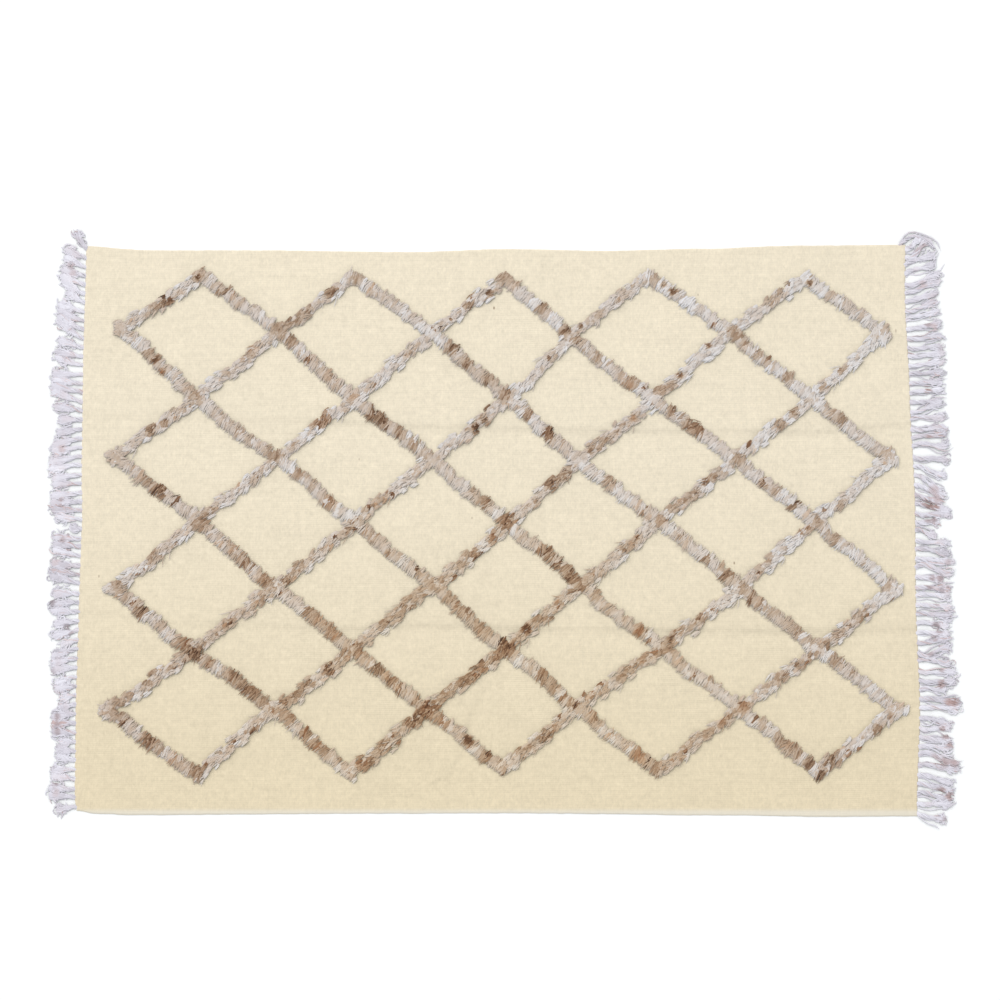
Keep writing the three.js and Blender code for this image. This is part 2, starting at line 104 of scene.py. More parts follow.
# Patches of darker or redder yarn in the pile: x, y and radius in mm, tone from 0 dark to 1 pale, rust
PATCHES = [
    (-758, 517, 14, 0.2, 0.25), (-783, 503, 14, 0.4, 0.05), (-798, 484, 12, 0.45, 0.05),
    (-769, 386, 13, 0.2, 0.3), (-792, 400, 15, 0.4, 0.05), (-878, 459, 20, 0.55, 0.1),
    (-685, 585, 12, 0.5, 0.25), (-687, 296, 16, 0.38, 0.1), (-715, 308, 12, 0.5, 0.3),
    (-495, 459, 20, 0.4, 0.05), (-471, 417, 12, 0.25, 0.15), (-376, 541, 13, 0.25, 0.2),
    (-319, 573, 12, 0.42, 0.1), (-386, 343, 12, 0.45, 0.4), (-394, 243, 14, 0.25, 0.5),
    (-410, 231, 10, 0.2, 0.4), (-287, 250, 12, 0.2, 0.2), (-254, 241, 11, 0.22, 0.2),
    (-326, 296, 10, 0.5, 0.6), (-507, 158, 18, 0.33, 0.1), (-452, 112, 12, 0.35, 0.2),
    (-376, 52, 13, 0.3, 0.45), (-789, 224, 14, 0.28, 0.1), (-760, 236, 10, 0.35, 0.1),
    (-861, 157, 18, 0.5, 0.05), (-770, 77, 12, 0.16, 0.3), (-794, 105, 14, 0.38, 0.05),
    (-676, -3, 14, 0.33, 0.2), (-779, -67, 16, 0.4, 0.15), (-617, 354, 14, 0.5, 0.05),
    (-572, 394, 14, 0.45, 0.1), (17, 571, 16, 0.4, 0.15), (-15, 539, 12, 0.22, 0.15),
    (-58, 503, 13, 0.24, 0.15), (109, 499, 13, 0.33, 0.15), (162, 452, 13, 0.25, 0.1),
    (187, 429, 12, 0.35, 0.05), (233, 499, 16, 0.42, 0.1), (287, 546, 16, 0.55, 0.1),
    (370, 572, 14, 0.38, 0), (434, 527, 12, 0.97, 0), (231, 387, 13, 0.42, 0.05),
    (301, 322, 11, 0.35, 0.45), (400, 320, 14, 0.42, 0.15), (-100, 410, 12, 0.24, 0.15),
    (-65, 375, 12, 0.3, 0.1), (-19, 334, 12, 0.34, 0.1), (24, 306, 15, 0.28, 0.2),
    (-42, 225, 9, 0.1, 0.2), (-26, 241, 10, 0.3, 0.1), (72, 250, 12, 0.3, 0.25),
    (123, 213, 12, 0.18, 0.4), (-264, 250, 12, 0.22, 0.2), (-218, 213, 13, 0.35, 0.1),
    (-186, 181, 12, 0.4, 0.1), (-26, 52, 13, 0.28, 0.2), (22, 7, 16, 0.26, 0.35),
    (-7, -28, 14, 0.3, 0.5), (125, 98, 13, 0.25, 0.2), (255, 94, 12, 0.38, 0.3),
    (400, 43, 13, 0.38, 0.05), (115, -62, 12, 0.28, 0.2), (-57, -62, 13, 0.25, 0.2),
    (406, 267, 12, 0.3, 0.2), (449, 230, 14, 0.3, 0.3), (22, -277, 18, 0.14, 0.35),
    (4, -298, 14, 0.3, 0.35), (70, -234, 9, 0.15, 0.35), (-21, -329, 14, 0.38, 0.55),
    (-72, -349, 13, 0.33, 0.15), (-111, -379, 12, 0.4, 0.1), (-153, -412, 20, 0.2, 0.45),
    (-117, -439, 13, 0.36, 0.5), (-18, -522, 13, 0.25, 0.3), (-47, -511, 8, 0.97, 0),
    (-305, -282, 14, 0.26, 0.3), (-267, -327, 15, 0.3, 0.1), (-237, -354, 12, 0.35, 0.35),
    (-259, -484, 15, 0.3, 0.05), (-303, -535, 14, 0.36, 0.5), (-283, -511, 8, 0.9, 0),
    (56, -499, 14, 0.38, 0.1), (108, -473, 13, 0.28, 0.15), (101, -349, 13, 0.3, 0.15),
    (124, -372, 12, 0.33, 0.1), (54, -304, 9, 0.97, 0), (319, -522, 12, 0.4, 0.7),
    (355, -557, 14, 0.33, 0.2), (321, -243, 11, 0.35, 0.75), (343, -266, 11, 0.22, 0.5),
    (329, -297, 13, 0.45, 0.45), (131, -85, 12, 0.22, 0.3), (176, -116, 12, 0.25, 0.2),
    (192, -141, 12, 0.3, 0.15), (131, -207, 12, 0.32, 0.2), (88, -214, 12, 0.4, 0.15),
    (-186, -185, 9, 0.3, 0.05), (-27, -241, 10, 0.45, 0.35), (243, -439, 13, 0.4, 0.1),
    (774, 539, 12, 0.36, 0.1), (631, 518, 16, 0.42, 0.05), (655, 539, 12, 0.45, 0.05),
    (546, 445, 14, 0.4, 0.05), (377, 313, 14, 0.38, 0.2), (600, 394, 11, 0.38, 0),
    (634, 376, 12, 0.42, 0.1), (668, 341, 13, 0.34, 0.05), (790, 364, 12, 0.36, 0.1),
    (748, 320, 13, 0.42, 0.1), (765, 267, 12, 0.4, 0.05), (788, 237, 12, 0.38, 0.05),
    (650, 228, 15, 0.33, 0.1), (681, 262, 12, 0.36, 0.1), (468, 220, 13, 0.3, 0.35),
    (551, 151, 18, 0.36, 0.1), (494, 112, 11, 0.36, 0.15), (678, 44, 10, 0.25, 0.1),
    (642, 83, 12, 0.4, 0.2), (732, 7, 13, 0.4, 0.1), (693, -9, 14, 0.35, 0.1),
    (767, -32, 11, 0.34, 0.1), (899, 453, 14, 0.5, 0.1), (375, 7, 12, 0.4, 0.3),
    (784, 44, 12, 0.42, 0.1), (474, -77, 13, 0.35, 0.1), (519, -116, 12, 0.32, 0.25),
    (564, -139, 13, 0.42, 0.1), (617, -77, 12, 0.38, 0.15), (466, -207, 12, 0.36, 0.2),
    (411, -241, 13, 0.32, 0.35), (388, -275, 14, 0.4, 0.2), (683, -236, 12, 0.4, 0.1),
    (714, -259, 13, 0.33, 0.1), (750, -275, 14, 0.32, 0.1), (773, -247, 12, 0.36, 0.1),
    (720, -297, 14, 0.36, 0.1), (765, -308, 12, 0.35, 0.1), (645, -349, 14, 0.38, 0.15),
    (690, -320, 12, 0.4, 0.1), (516, -367, 10, 0.25, 0.35), (561, -410, 14, 0.3, 0.6),
    (509, -439, 14, 0.36, 0.5), (477, -466, 13, 0.4, 0.15), (643, -477, 14, 0.38, 0.05),
    (676, -506, 10, 0.34, 0.1), (710, -535, 15, 0.24, 0.1), (732, -566, 12, 0.22, 0.1),
    (761, -528, 16, 0.26, 0.15), (859, -461, 10, 0.3, 0.1), (364, -566, 14, 0.36, 0.15),
    (409, -513, 12, 0.42, 0.2), (888, -139, 12, 0.45, 0.1), (-857, -131, 16, 0.42, 0.1),
    (-808, -196, 13, 0.25, 0.25), (-758, -230, 13, 0.5, 0.15), (-728, -282, 12, 0.4, 0.45),
    (-678, -289, 16, 0.16, 0.2), (-712, -260, 11, 0.38, 0.3), (-779, -334, 13, 0.3, 0.15),
    (-790, -357, 13, 0.35, 0.1), (-741, -321, 12, 0.42, 0.1), (-849, -417, 20, 0.36, 0.1),
    (-830, -388, 12, 0.4, 0.35), (-780, -484, 14, 0.2, 0.35), (-760, -513, 12, 0.36, 0.1),
    (-669, -551, 18, 0.32, 0.2), (-547, -462, 13, 0.24, 0.3), (-559, -372, 13, 0.28, 0.3),
    (-523, -401, 12, 0.36, 0.15), (-582, -356, 12, 0.38, 0.1), (-484, -424, 14, 0.42, 0.3),
    (-447, -372, 13, 0.3, 0.1), (-433, -356, 12, 0.26, 0.15), (-379, -327, 12, 0.26, 0.2),
    (-344, -289, 12, 0.33, 0.2), (-539, -185, 15, 0.34, 0.2), (-571, -198, 14, 0.45, 0.1),
    (-526, -124, 11, 0.34, 0.35), (-472, -130, 12, 0.3, 0.15), (-450, -94, 13, 0.35, 0.1),
    (-396, -219, 12, 0.4, 0.6), (-426, -207, 11, 0.36, 0.2), (-373, -237, 12, 0.42, 0.4),
    (-432, -477, 12, 0.34, 0.15), (-462, -439, 10, 0.35, 0.3), (-387, -506, 11, 0.4, 0.1),
    (-254, -221, 12, 0.4, 0.1), (-215, -198, 12, 0.42, 0.1),
]
# Where the whole wool is paler or darker: x, y and reach in mm, and the change of tone
DRIFTS = [
    (680, 430, 280, 0.065), (-700, 0, 240, 0.04), (700, 0, 240, 0.05), (0, -430, 290, -0.12),
    (0, 0, 250, -0.045),
]
# Small spots of dark or red yarn that lie within single locks
SPOTS = [
    (-685, 576, 6, 0, 0.3), (-749, 522, 7, 0.12, 0.35), (-780, 382, 8, 0.08, 0.3),
    (-766, 354, 8, 0.3, 0.9), (388, 558, 7, 0.25, 0.05), (409, 543, 9, 0, 0.3),
    (488, 417, 8, 0.08, 0.35), (423, 348, 8, 0.12, 0.35), (315, 248, 8, 0.4, 0.85),
    (308, 320, 10, 0.45, 0.8), (724, 562, 8, 0.1, 0.2), (478, 101, 8, 0.08, 0.35),
    (70, -234, 11, 0.08, 0.4), (-61, -484, 12, 0.03, 0.3), (-44, 222, 8, 0.05, 0.2),
]

# The few dark flecks in the cloth: x, y and radius in mm, and strength. A separate script found their
# places in the photo.
FLECKS = [
    (-3, 505, 2.6, 0.8), (543, -84, 2.4, 0.7), (807, -42, 2.2, 0.6), (-900, -114, 2.2, 0.5),
    (823, 111, 2.0, 0.5), (467, 536, 2.0, 0.4), (-53, 19, 2.0, 0.4), (-311, 154, 2.0, 0.35),
    (570, 109, 2.0, 0.35), (921, 452, 3.0, 0.3),
]

# The fringes, tuft by tuft from the far end: how many cords draw together, how far they reach past the
# cloth, and how far their ends lean towards the far edge, in mm
LEFT_TUFTS = [
    (1, 28, 44), (2, 54, 24), (2, 62, 20), (1, 58, 32), (1, 46, 28), (4, 66, 30), (1, 62, 20),
    (2, 70, 18), (4, 76, 14), (1, 70, 12), (1, 57, 2), (1, 62, -12), (2, 73, -16), (2, 80, -12),
    (2, 72, -8), (3, 76, -4), (1, 62, 6), (1, 28, 2), (3, 68, 10), (3, 72, 13), (1, 64, -2), (2, 69, -2),
    (1, 60, -8), (1, 62, -16), (1, 40, -14), (3, 62, -14), (2, 52, -12), (1, 38, -10), (1, 38, -12),
    (2, 58, -3), (1, 57, 0), (1, 40, 2), (2, 46, 8), (2, 58, 4), (2, 63, 5), (1, 48, -5),
]
RIGHT_TUFTS = [
    (1, 42, 32), (1, 62, 36), (2, 72, 32), (2, 86, 20), (1, 80, 26), (1, 80, 25), (1, 80, 23),
    (1, 86, 8), (1, 86, 6), (1, 86, 3), (1, 90, 10), (1, 86, 4), (1, 84, 4), (1, 80, 8), (1, 82, 8),
    (1, 78, 4), (1, 78, 8), (1, 82, 14), (2, 86, 14), (1, 84, 14), (1, 86, -8), (1, 76, -21),
    (2, 72, -40), (1, 66, -22), (2, 84, -13), (1, 58, -2), (1, 48, -3), (2, 80, -9), (2, 90, -8),
    (1, 62, -2), (2, 82, 0), (2, 88, -6), (3, 79, 4), (2, 80, 2), (2, 90, -5), (1, 64, -2), (2, 96, -3),
    (2, 74, -5), (2, 76, -14), (2, 97, -4), (1, 84, -16), (1, 86, -12), (1, 86, -6), (1, 84, -5),
    (1, 64, -24),
]

# Stains of darker or redder yarn in the fringes, as for the pile
FRINGE_PATCHES = [
    (-978, 603, 9, 0.45, 0.5), (-974, 586, 8, 0.5, 0.5), (-970, 495, 7, 0.5, 0.3), (-1004, -173, 7, 0.1, 0.3),
    (-970, -230, 8, 0.15, 0.35), (-960, -246, 6, 0.3, 0.4), (-988, -430, 6, 0.25, 0.4),
    (-988, -450, 7, 0.3, 0.4), (-986, -466, 7, 0.3, 0.4), (-990, 60, 5, 0.35, 0.5),
    (-990, 47, 5, 0.35, 0.5), (-999, -545, 6, 0.25, 0.3), (-989, -581, 8, 0.25, 0.4),
    (-972, -18, 6, 0.35, 0.4), (-1000, -332, 8, 0.4, 0.3), (-990, 178, 9, 0.6, 0.7),
    (-985, -30, 7, 0.4, 0.5), (-985, -600, 9, 0.55, 0.5), (-1000, -80, 9, 0.6, 0.6),
    (995, 468, 8, 0.25, 0.5), (1010, 460, 9, 0.55, 0.6), (991, 315, 8, 0.3, 0.8), (992, 203, 8, 0.35, 0.7),
    (980, 55, 8, 0.25, 0.8), (990, 48, 9, 0.12, 0.8), (1004, 44, 8, 0.25, 0.8), (985, 16, 8, 0.25, 0.5),
    (999, 14, 7, 0.3, 0.5), (1000, 82, 12, 0.45, 0.55), (1008, 64, 10, 0.45, 0.5), (1030, -82, 8, 0.45, 0.5),
    (992, -118, 7, 0.3, 0.5), (1010, -119, 8, 0.3, 0.5), (985, -140, 6, 0.25, 0.4),
    (1012, -146, 7, 0.3, 0.4), (998, -178, 7, 0.35, 0.4), (998, -228, 9, 0.12, 0.4),
    (1006, -241, 7, 0.3, 0.5), (995, -256, 6, 0.35, 0.5), (985, -290, 6, 0.35, 0.4),
    (1008, -328, 7, 0.35, 0.5), (1008, -358, 9, 0.25, 0.7), (1036, -398, 10, 0.3, 0.85),
    (1022, -400, 7, 0.4, 0.8), (1010, -425, 7, 0.25, 0.6), (1008, -458, 7, 0.3, 0.6),
    (1015, -475, 8, 0.3, 0.6), (1022, -495, 8, 0.35, 0.6), (990, -525, 11, 0.42, 0.55),
    (1010, -535, 11, 0.36, 0.55), (1032, -535, 11, 0.4, 0.55), (1002, -598, 8, 0.15, 0.7),
    (1020, -610, 9, 0.3, 0.7), (1010, -660, 8, 0.4, 0.4), (975, 641, 9, 0.4, 0.5), (990, 650, 8, 0.4, 0.5),
    (955, 655, 8, 0.3, 0.3), (985, 560, 8, 0.5, 0.6),
]


def linear(red, green, blue):
    """A colour given from 0 to 255 as a screen shows it, in scene linear values."""
    shares = [value / 255 for value in (red, green, blue)]
    return [s / 12.92 if s <= 0.04045 else ((s + 0.055) / 1.055) ** 2.4 for s in shares]


def shade(red, green, blue):
    """The same as a socket value, with full alpha."""
    return [*linear(red, green, blue), 1.0]


# The wool's colours by tone, from 0 dark to 1 pale: plain yarn, and yarn that is rust all through
PILE_TONES = [
    (0.0, shade(62, 40, 27)), (0.18, shade(107, 78, 55)), (0.36, shade(160, 132, 106)),
    (0.52, shade(190, 169, 147)), (0.7, shade(206, 192, 178)), (0.86, shade(215, 206, 196)),
    (1.0, shade(223, 219, 216)),
]
PILE_RUSTS = [
    (0.0, shade(80, 47, 27)), (0.3, shade(150, 102, 67)), (0.6, shade(193, 160, 128)),
    (1.0, shade(222, 208, 190)),
]
FRINGE_TONES = [
    (0.0, shade(140, 130, 136)), (0.35, shade(186, 180, 188)), (0.6, shade(217, 213, 222)),
    (1.0, shade(240, 239, 247)),
]
FRINGE_RUSTS = [
    (0.0, shade(110, 78, 62)), (0.4, shade(184, 152, 146)), (0.7, shade(214, 194, 194)),
    (1.0, shade(234, 220, 218)),
]
# The pile is warmer round the middle of the near edge and cooler far from it. The place and distances
# are in metres, with the rug stretched across its width.
PILE_TINTS = [(1.0, 0.97, 0.91, 1), (1.0, 1.025, 1.09, 1)]
TINT_STRETCH = (1, 1.3, 0)
TINT_CENTRE = (0.0, -0.585, 0)
TINT_RANGE = (0.25, 0.95)


def look_up(table, at):
    """The value of a table of (place, value) rows at these places, eased between its rows."""
    places, values = np.array(table, float).T
    at = np.asarray(at, float)
    row = np.clip(np.searchsorted(places, at) - 1, 0, len(places) - 2)
    part = np.clip((at - places[row]) / (places[row + 1] - places[row]), 0, 1)
    eased = part * part * (3 - 2 * part)
    return values[row] + (values[row + 1] - values[row]) * eased


def soft_noise(x, y, size, seed):
    """Smooth noise from -1 to 1 whose lumps are about this size in mm."""
    lattice = np.random.default_rng(seed).uniform(-1, 1, (64, 64))
    across, up = np.asarray(x, float) / size, np.asarray(y, float) / size
    i, j = np.floor(across).astype(int), np.floor(up).astype(int)
    u, v = across - i, up - j
    u, v = u * u * (3 - 2 * u), v * v * (3 - 2 * v)
    low = lattice[i % 64, j % 64] * (1 - u) + lattice[(i + 1) % 64, j % 64] * u
    high = lattice[i % 64, (j + 1) % 64] * (1 - u) + lattice[(i + 1) % 64, (j + 1) % 64] * u
    return low * (1 - v) + high * v


class Term:
    """A node's output that Python's operators turn into Math nodes."""

    def __init__(self, paint, socket):
        self.paint = paint
        self.socket = socket

    def _with(self, operation, first, second=None):
        values = {0: first}
        if second is not None:
            values[1] = second
        return self.paint.add("ShaderNodeMath", {"operation": operation}, values)

    def __add__(self, other):
        return self._with("ADD", self, other)

    def __radd__(self, other):
        return self._with("ADD", other, self)

    def __sub__(self, other):
        return self._with("SUBTRACT", self, other)

    def __rsub__(self, other):
        return self._with("SUBTRACT", other, self)

    def __mul__(self, other):
        return self._with("MULTIPLY", self, other)

    def sine(self):
        return self._with("SINE", self)

    def within(self, low, high):
        """0 below low, 1 above high, and smooth in between."""
        values = {0: self, 1: low, 2: high, 3: 0.0, 4: 1.0}
        return self.paint.add("ShaderNodeMapRange", {"interpolation_type": "SMOOTHSTEP"}, values)


class Paint:
    """A material's node tree. One method adds every node."""

    def __init__(self, name):
        self.material = bpy.data.materials.new(name)
        self.material.use_nodes = True
        self.tree = self.material.node_tree
        self.tree.nodes.clear()

    def add(self, kind, settings=None, values=None, output=0):
        """A node of this kind: its settings are set first, then its sockets' values or links."""
        node = self.tree.nodes.new(kind)
        for key, setting in (settings or {}).items():
            if key == "stops":
                self._set_stops(node.color_ramp, setting)
            else:
                setattr(node, key, setting)
        for key, value in (values or {}).items():
            if isinstance(value, Term):
                self.tree.links.new(value.socket, node.inputs[key])
            else:
                node.inputs[key].default_value = value
        return None if output is None else Term(self, node.outputs[output])

    def _set_stops(self, ramp, stops):
        while len(ramp.elements) < len(stops):
            ramp.elements.new(1.0)
        for element, (place, colour) in zip(ramp.elements, stops):
            element.position = place
            element.color = colour

    def object_place(self):
        return self.add("ShaderNodeTexCoord", output="Object")

    def parts(self, vector):
        """The three numbers of a vector."""
        return [self.add("ShaderNodeSeparateXYZ", values={0: vector}, output=i) for i in range(3)]

    def stretched(self, vector, scale):
        return self.add("ShaderNodeVectorMath", {"operation": "MULTIPLY"}, {0: vector, 1: scale})

    def noise(self, vector, scale, detail=2.0, roughness=0.5):
        values = {"Vector": vector, "Scale": scale, "Detail": detail, "Roughness": roughness}
        return self.add("ShaderNodeTexNoise", values=values)

    def mix(self, first, second, factor):
        """A colour between two, by the factor."""
        return self.add("ShaderNodeMix", {"data_type": "RGBA"}, {0: factor, 6: first, 7: second}, output=2)

    def darkened(self, colour, amount):
        """The colour times a grey value."""
        grey = self.add("ShaderNodeCombineColor", values={0: amount, 1: amount, 2: amount})
        settings = {"data_type": "RGBA", "blend_type": "MULTIPLY"}
        return self.add("ShaderNodeMix", settings, {0: 1.0, 6: colour, 7: grey}, output=2)

    def bump(self, height, distance):
        return self.add("ShaderNodeBump", values={"Strength": 1.0, "Distance": distance, "Height": height})

    def wool(self, values):
        """Ends the tree in a dull woollen surface and gives its material."""
        plain = {"IOR": 1.45, "Specular IOR Level": 0.25, "Sheen Weight": 0.12, "Sheen Roughness": 0.6}
        surface = self.add("ShaderNodeBsdfPrincipled", values={**plain, **values})
        self.add("ShaderNodeOutputMaterial", values={"Surface": surface}, output=None)
        return self.material


def make_piece(name, parts, material, slot, *nodes):
    """One mesh object from parts: dicts of points in mm, faces, yarn and maybe normals and uv."""
    starts = np.cumsum([0] + [len(part["points"]) for part in parts[:-1]])
    points = np.concatenate([part["points"] for part in parts]) * MM
    faces = np.concatenate([part["faces"] + start for part, start in zip(parts, starts)])
    mesh = bpy.data.meshes.new(name)
    mesh.vertices.add(len(points))
    mesh.attributes["position"].data.foreach_set("vector", points.astype(np.float32).ravel())
    mesh.loops.add(faces.size)
    mesh.loops.foreach_set("vertex_index", faces.astype(np.int32).ravel())
    mesh.polygons.add(len(faces))
    mesh.polygons.foreach_set("loop_start", np.arange(0, faces.size, 3, dtype=np.int32))
    mesh.update(calc_edges=True)
    mesh.shade_smooth()
    if "normals" in parts[0]:
        normals = np.concatenate([part["normals"] for part in parts]).astype(np.float32)
        mesh.normals_split_custom_set_from_vertices(normals)
    if "uv" in parts[0]:
        uv = np.concatenate([part["uv"] for part in parts]).astype(np.float32)
        mesh.uv_layers.new(name="along").data.foreach_set("uv", uv.ravel())
    yarn = np.concatenate([part["yarn"] for part in parts])
    yarn = np.column_stack([yarn, np.ones(len(yarn))]).astype(np.float32)
    attribute = mesh.attributes.new("yarn", "FLOAT_COLOR", "POINT")
    attribute.data.foreach_set("color", yarn.ravel())
    if mesh.validate():
        raise RuntimeError(f"{name} has faces that a mesh can't hold")
    mesh.materials.append(material)
    piece = bpy.data.objects.new(name, mesh)
    bpy.context.scene.collection.objects.link(piece)
    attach(piece, "root")
    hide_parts(*nodes)
    return piece


# How much the rims of a tube still face upwards, so that few sides shade like soft round yarn
RIM_FACING = 1.5
# How far apart the tubes start in the fibre's noise, so that no two look the same
FIBRE_SHIFT = 900


def tubes(spines, halves, sides, sideways, flatness, yarn, shift):
    """Closed tapering tubes round many spines at once, each ending in a point.

    spines is (tubes, stations, 3), halves the half width at each station, sideways a level vector
    across each tube, flatness the height as a share of the width, yarn three numbers for each
    station, and shift where each tube starts in the fibre's noise.
    """
    count, stations = spines.shape[:2]
    heading = np.gradient(spines, axis=1)
    heading /= np.linalg.norm(heading, axis=2, keepdims=True)
    across = np.broadcast_to(sideways, spines.shape).copy()
    across -= heading * np.sum(across * heading, axis=2, keepdims=True)
    across /= np.linalg.norm(across, axis=2, keepdims=True)
    up = np.cross(across, heading)
    turn = math.pi / 2 + 2 * math.pi * np.arange(sides) / sides
    ring = across[:, :-1, None, :] * np.cos(turn)[:, None]
    ring = ring + up[:, :-1, None, :] * (np.sin(turn)[:, None] * flatness)
    ring = spines[:, :-1, None, :] + ring * halves[:, :-1, None, None]
    rings = sides * (stations - 1)
    points = np.concatenate([ring.reshape(count, rings, 3), spines[:, -1:, :]], axis=1)
    facing = across[:, :-1, None, :] * np.cos(turn)[:, None]
    facing = facing + up[:, :-1, None, :] * np.maximum(np.sin(turn), RIM_FACING)[:, None]
    facing = facing / np.linalg.norm(facing, axis=3, keepdims=True)
    normals = np.concatenate([facing.reshape(count, rings, 3), up[:, -1:, :]], axis=1)

    corners = []
    for station in range(stations - 2):
        for side in range(sides):
            a, b = (station, side), (station, side + 1)
            c, d = (station + 1, side + 1), (station + 1, side)
            corners += [(a, c, b), (a, d, c)]
    for side in range(sides):
        corners.append(((stations - 2, side), (stations - 1, side + 0.5), (stations - 2, side + 1)))
    for side in range(1, sides - 1):
        corners.append(((0, 0), (0, side), (0, side + 1)))
    corners = np.array(corners)
    station, side = corners[..., 0].astype(int), corners[..., 1]
    local = np.where(station == stations - 1, rings, station * sides + side.astype(int) % sides)
    length = np.cumsum(np.linalg.norm(np.diff(spines, axis=1, prepend=spines[:, :1]), axis=2), axis=1)
    girth = 2 * math.pi * halves.max(axis=1)
    u = side[None] / sides * girth[:, None, None] + shift[:, None, None]
    v = length[:, station]
    size = rings + 1
    at_rings = np.repeat(yarn[:, :-1], sides, axis=1)
    return {
        "points": points.reshape(-1, 3),
        "normals": normals.reshape(-1, 3),
        "faces": (local[None] + (np.arange(count) * size)[:, None, None]).reshape(-1, 3),
        "uv": np.stack([u, v], axis=-1).reshape(-1, 2),
        "yarn": np.concatenate([at_rings, yarn[:, -1:]], axis=1).reshape(-1, 3),
    }


def near_y(cloth, x):
    return -cloth.width / MM / 2 - look_up(NEAR_EDGE, x)


def far_y(cloth, x):
    return cloth.width / MM / 2 + look_up(FAR_EDGE, x)


def left_x(cloth, y):
    return -cloth.length / MM / 2 - look_up(LEFT_EDGE, y)


def right_x(cloth, y):
    return cloth.length / MM / 2 + look_up(RIGHT_EDGE, y)


# How far a crease wavers, and the widths of the steep and gentle sides of troughs and of the painted shade
# along them, in mm
CREASE_WAVER = 1.2
CREASE_SIDES = (7, 22)
WRINKLE_SIDES = (7, 18)
CREASE_SHADE_SIDES = (5, 9)
WRINKLE_SHADE_SIDES = (6, 9)
WRINKLE_SHARE = 0.7


def fold_away(fold, x, y):
    """How far these places lie beyond a crease in mm."""
    return y - look_up(fold["line"], x) + CREASE_WAVER * soft_noise(x, 0 * x, 40, 5)


def trough(away, steep, gentle):
    """The depth of a crease from 0 to 1: one steep side and one gentle side."""
    return np.where(away > 0, np.exp(-(away / steep) ** 2), np.exp(-(away / gentle) ** 2))


def cloth_top(cloth, x, y):
    """The height of the cloth's top in mm, with its creases, wrinkles and slight cockle."""
    sink = cloth.cockle / MM * (1 + np.sin(x / 95 + y / 210) * np.cos(y / 120 - x / 330))
    for fold in (NEAR_FOLD, FAR_FOLD):
        depth = cloth.crease_depth / MM * look_up(fold["strength"], x)
        uneven = 1 + 0.25 * soft_noise(x, 0 * x, 90, 6)
        sink = sink + depth * uneven * trough(fold_away(fold, x, y), *CREASE_SIDES)
    for wrinkle in (LONG_WRINKLE, SHORT_WRINKLE):
        away = look_up(wrinkle["line"], y) - x
        depth = cloth.crease_depth / MM * look_up(wrinkle["strength"], y)
        sink = sink + WRINKLE_SHARE * depth * trough(away, *WRINKLE_SIDES)
    sink = sink + 0.22 * (1 + soft_noise(x, y, 130, 7)) + 0.1 * (1 + soft_noise(x, y, 38, 8))
    return cloth.thickness / MM - sink


def painted_crease_shade(x, y):
    """How much painted shade darkens the cloth along the creases and wrinkles at these places, from 0 to 1.
    """
    crease_shade = np.zeros(x.shape)
    for fold in (NEAR_FOLD, FAR_FOLD):
        strength = look_up(fold["strength"], x) * (1 + 0.35 * soft_noise(x, 0 * x, 90, 6))
        crease_shade = np.maximum(crease_shade, strength * trough(fold_away(fold, x, y), *CREASE_SHADE_SIDES))
    for wrinkle in (LONG_WRINKLE, SHORT_WRINKLE):
        away = look_up(wrinkle["line"], y) - x
        crease_shade = np.maximum(crease_shade, look_up(wrinkle["strength"], y) * trough(away, *WRINKLE_SHADE_SIDES))
    return np.clip(crease_shade, 0, 1)


def grid_shares(length, spacing, insets):
    """Shares from 0 to 1 along a length: a few close steps at both rims, and even steps between."""
    inner = insets[-1]
    steps = max(2, round((length - 2 * inner) / spacing))
    middle = np.linspace(inner, length - inner, steps + 1)
    return np.concatenate([insets[:-1], middle, length - np.array(insets[:-1])[::-1]]) / length


# Grid lines in mm: inwards from the cloth's rims, and beside each crease
RIM_INSETS = [0, 0.45, 1.2, 2.3, 3.8, 6.5]
FOLD_OFFSETS = np.array([-36, -28, -21, -15, -10, -6, -3, 0, 2.5, 5, 7.5, 10.5, 15, 21])


def ground_rows(cloth, x):
    """The y of every grid row at these x: close rows at the rims and along both folds."""
    near, far = near_y(cloth, x), far_y(cloth, x)
    folds = [look_up(fold["line"], x) for fold in (NEAR_FOLD, FAR_FOLD)]
    insets = np.array(RIM_INSETS)
    rows = [near[None] + insets[:, None]]
    start = near + insets[-1]
    for fold in folds:
        stop = fold + FOLD_OFFSETS[0]
        steps = round(float(np.mean(stop - start)) / (cloth.mesh_size / MM))
        part = np.linspace(0, 1, steps + 1)[1:-1, None]
        rows += [start + (stop - start) * part, fold + FOLD_OFFSETS[:, None]]
        start = fold + FOLD_OFFSETS[-1]
    stop = far - insets[-1]
    steps = round(float(np.mean(stop - start)) / (cloth.mesh_size / MM))
    part = np.linspace(0, 1, steps + 1)[1:-1, None]
    rows += [start + (stop - start) * part, far - insets[::-1, None]]
    return np.concatenate(rows)


# The rim's lowest height and the reach of its unevenness in mm, and how far the underside draws in
RIM_LOWEST = 0.5
RIM_WOBBLE_REACH = 6
UNDERSIDE_INSET = 0.0008


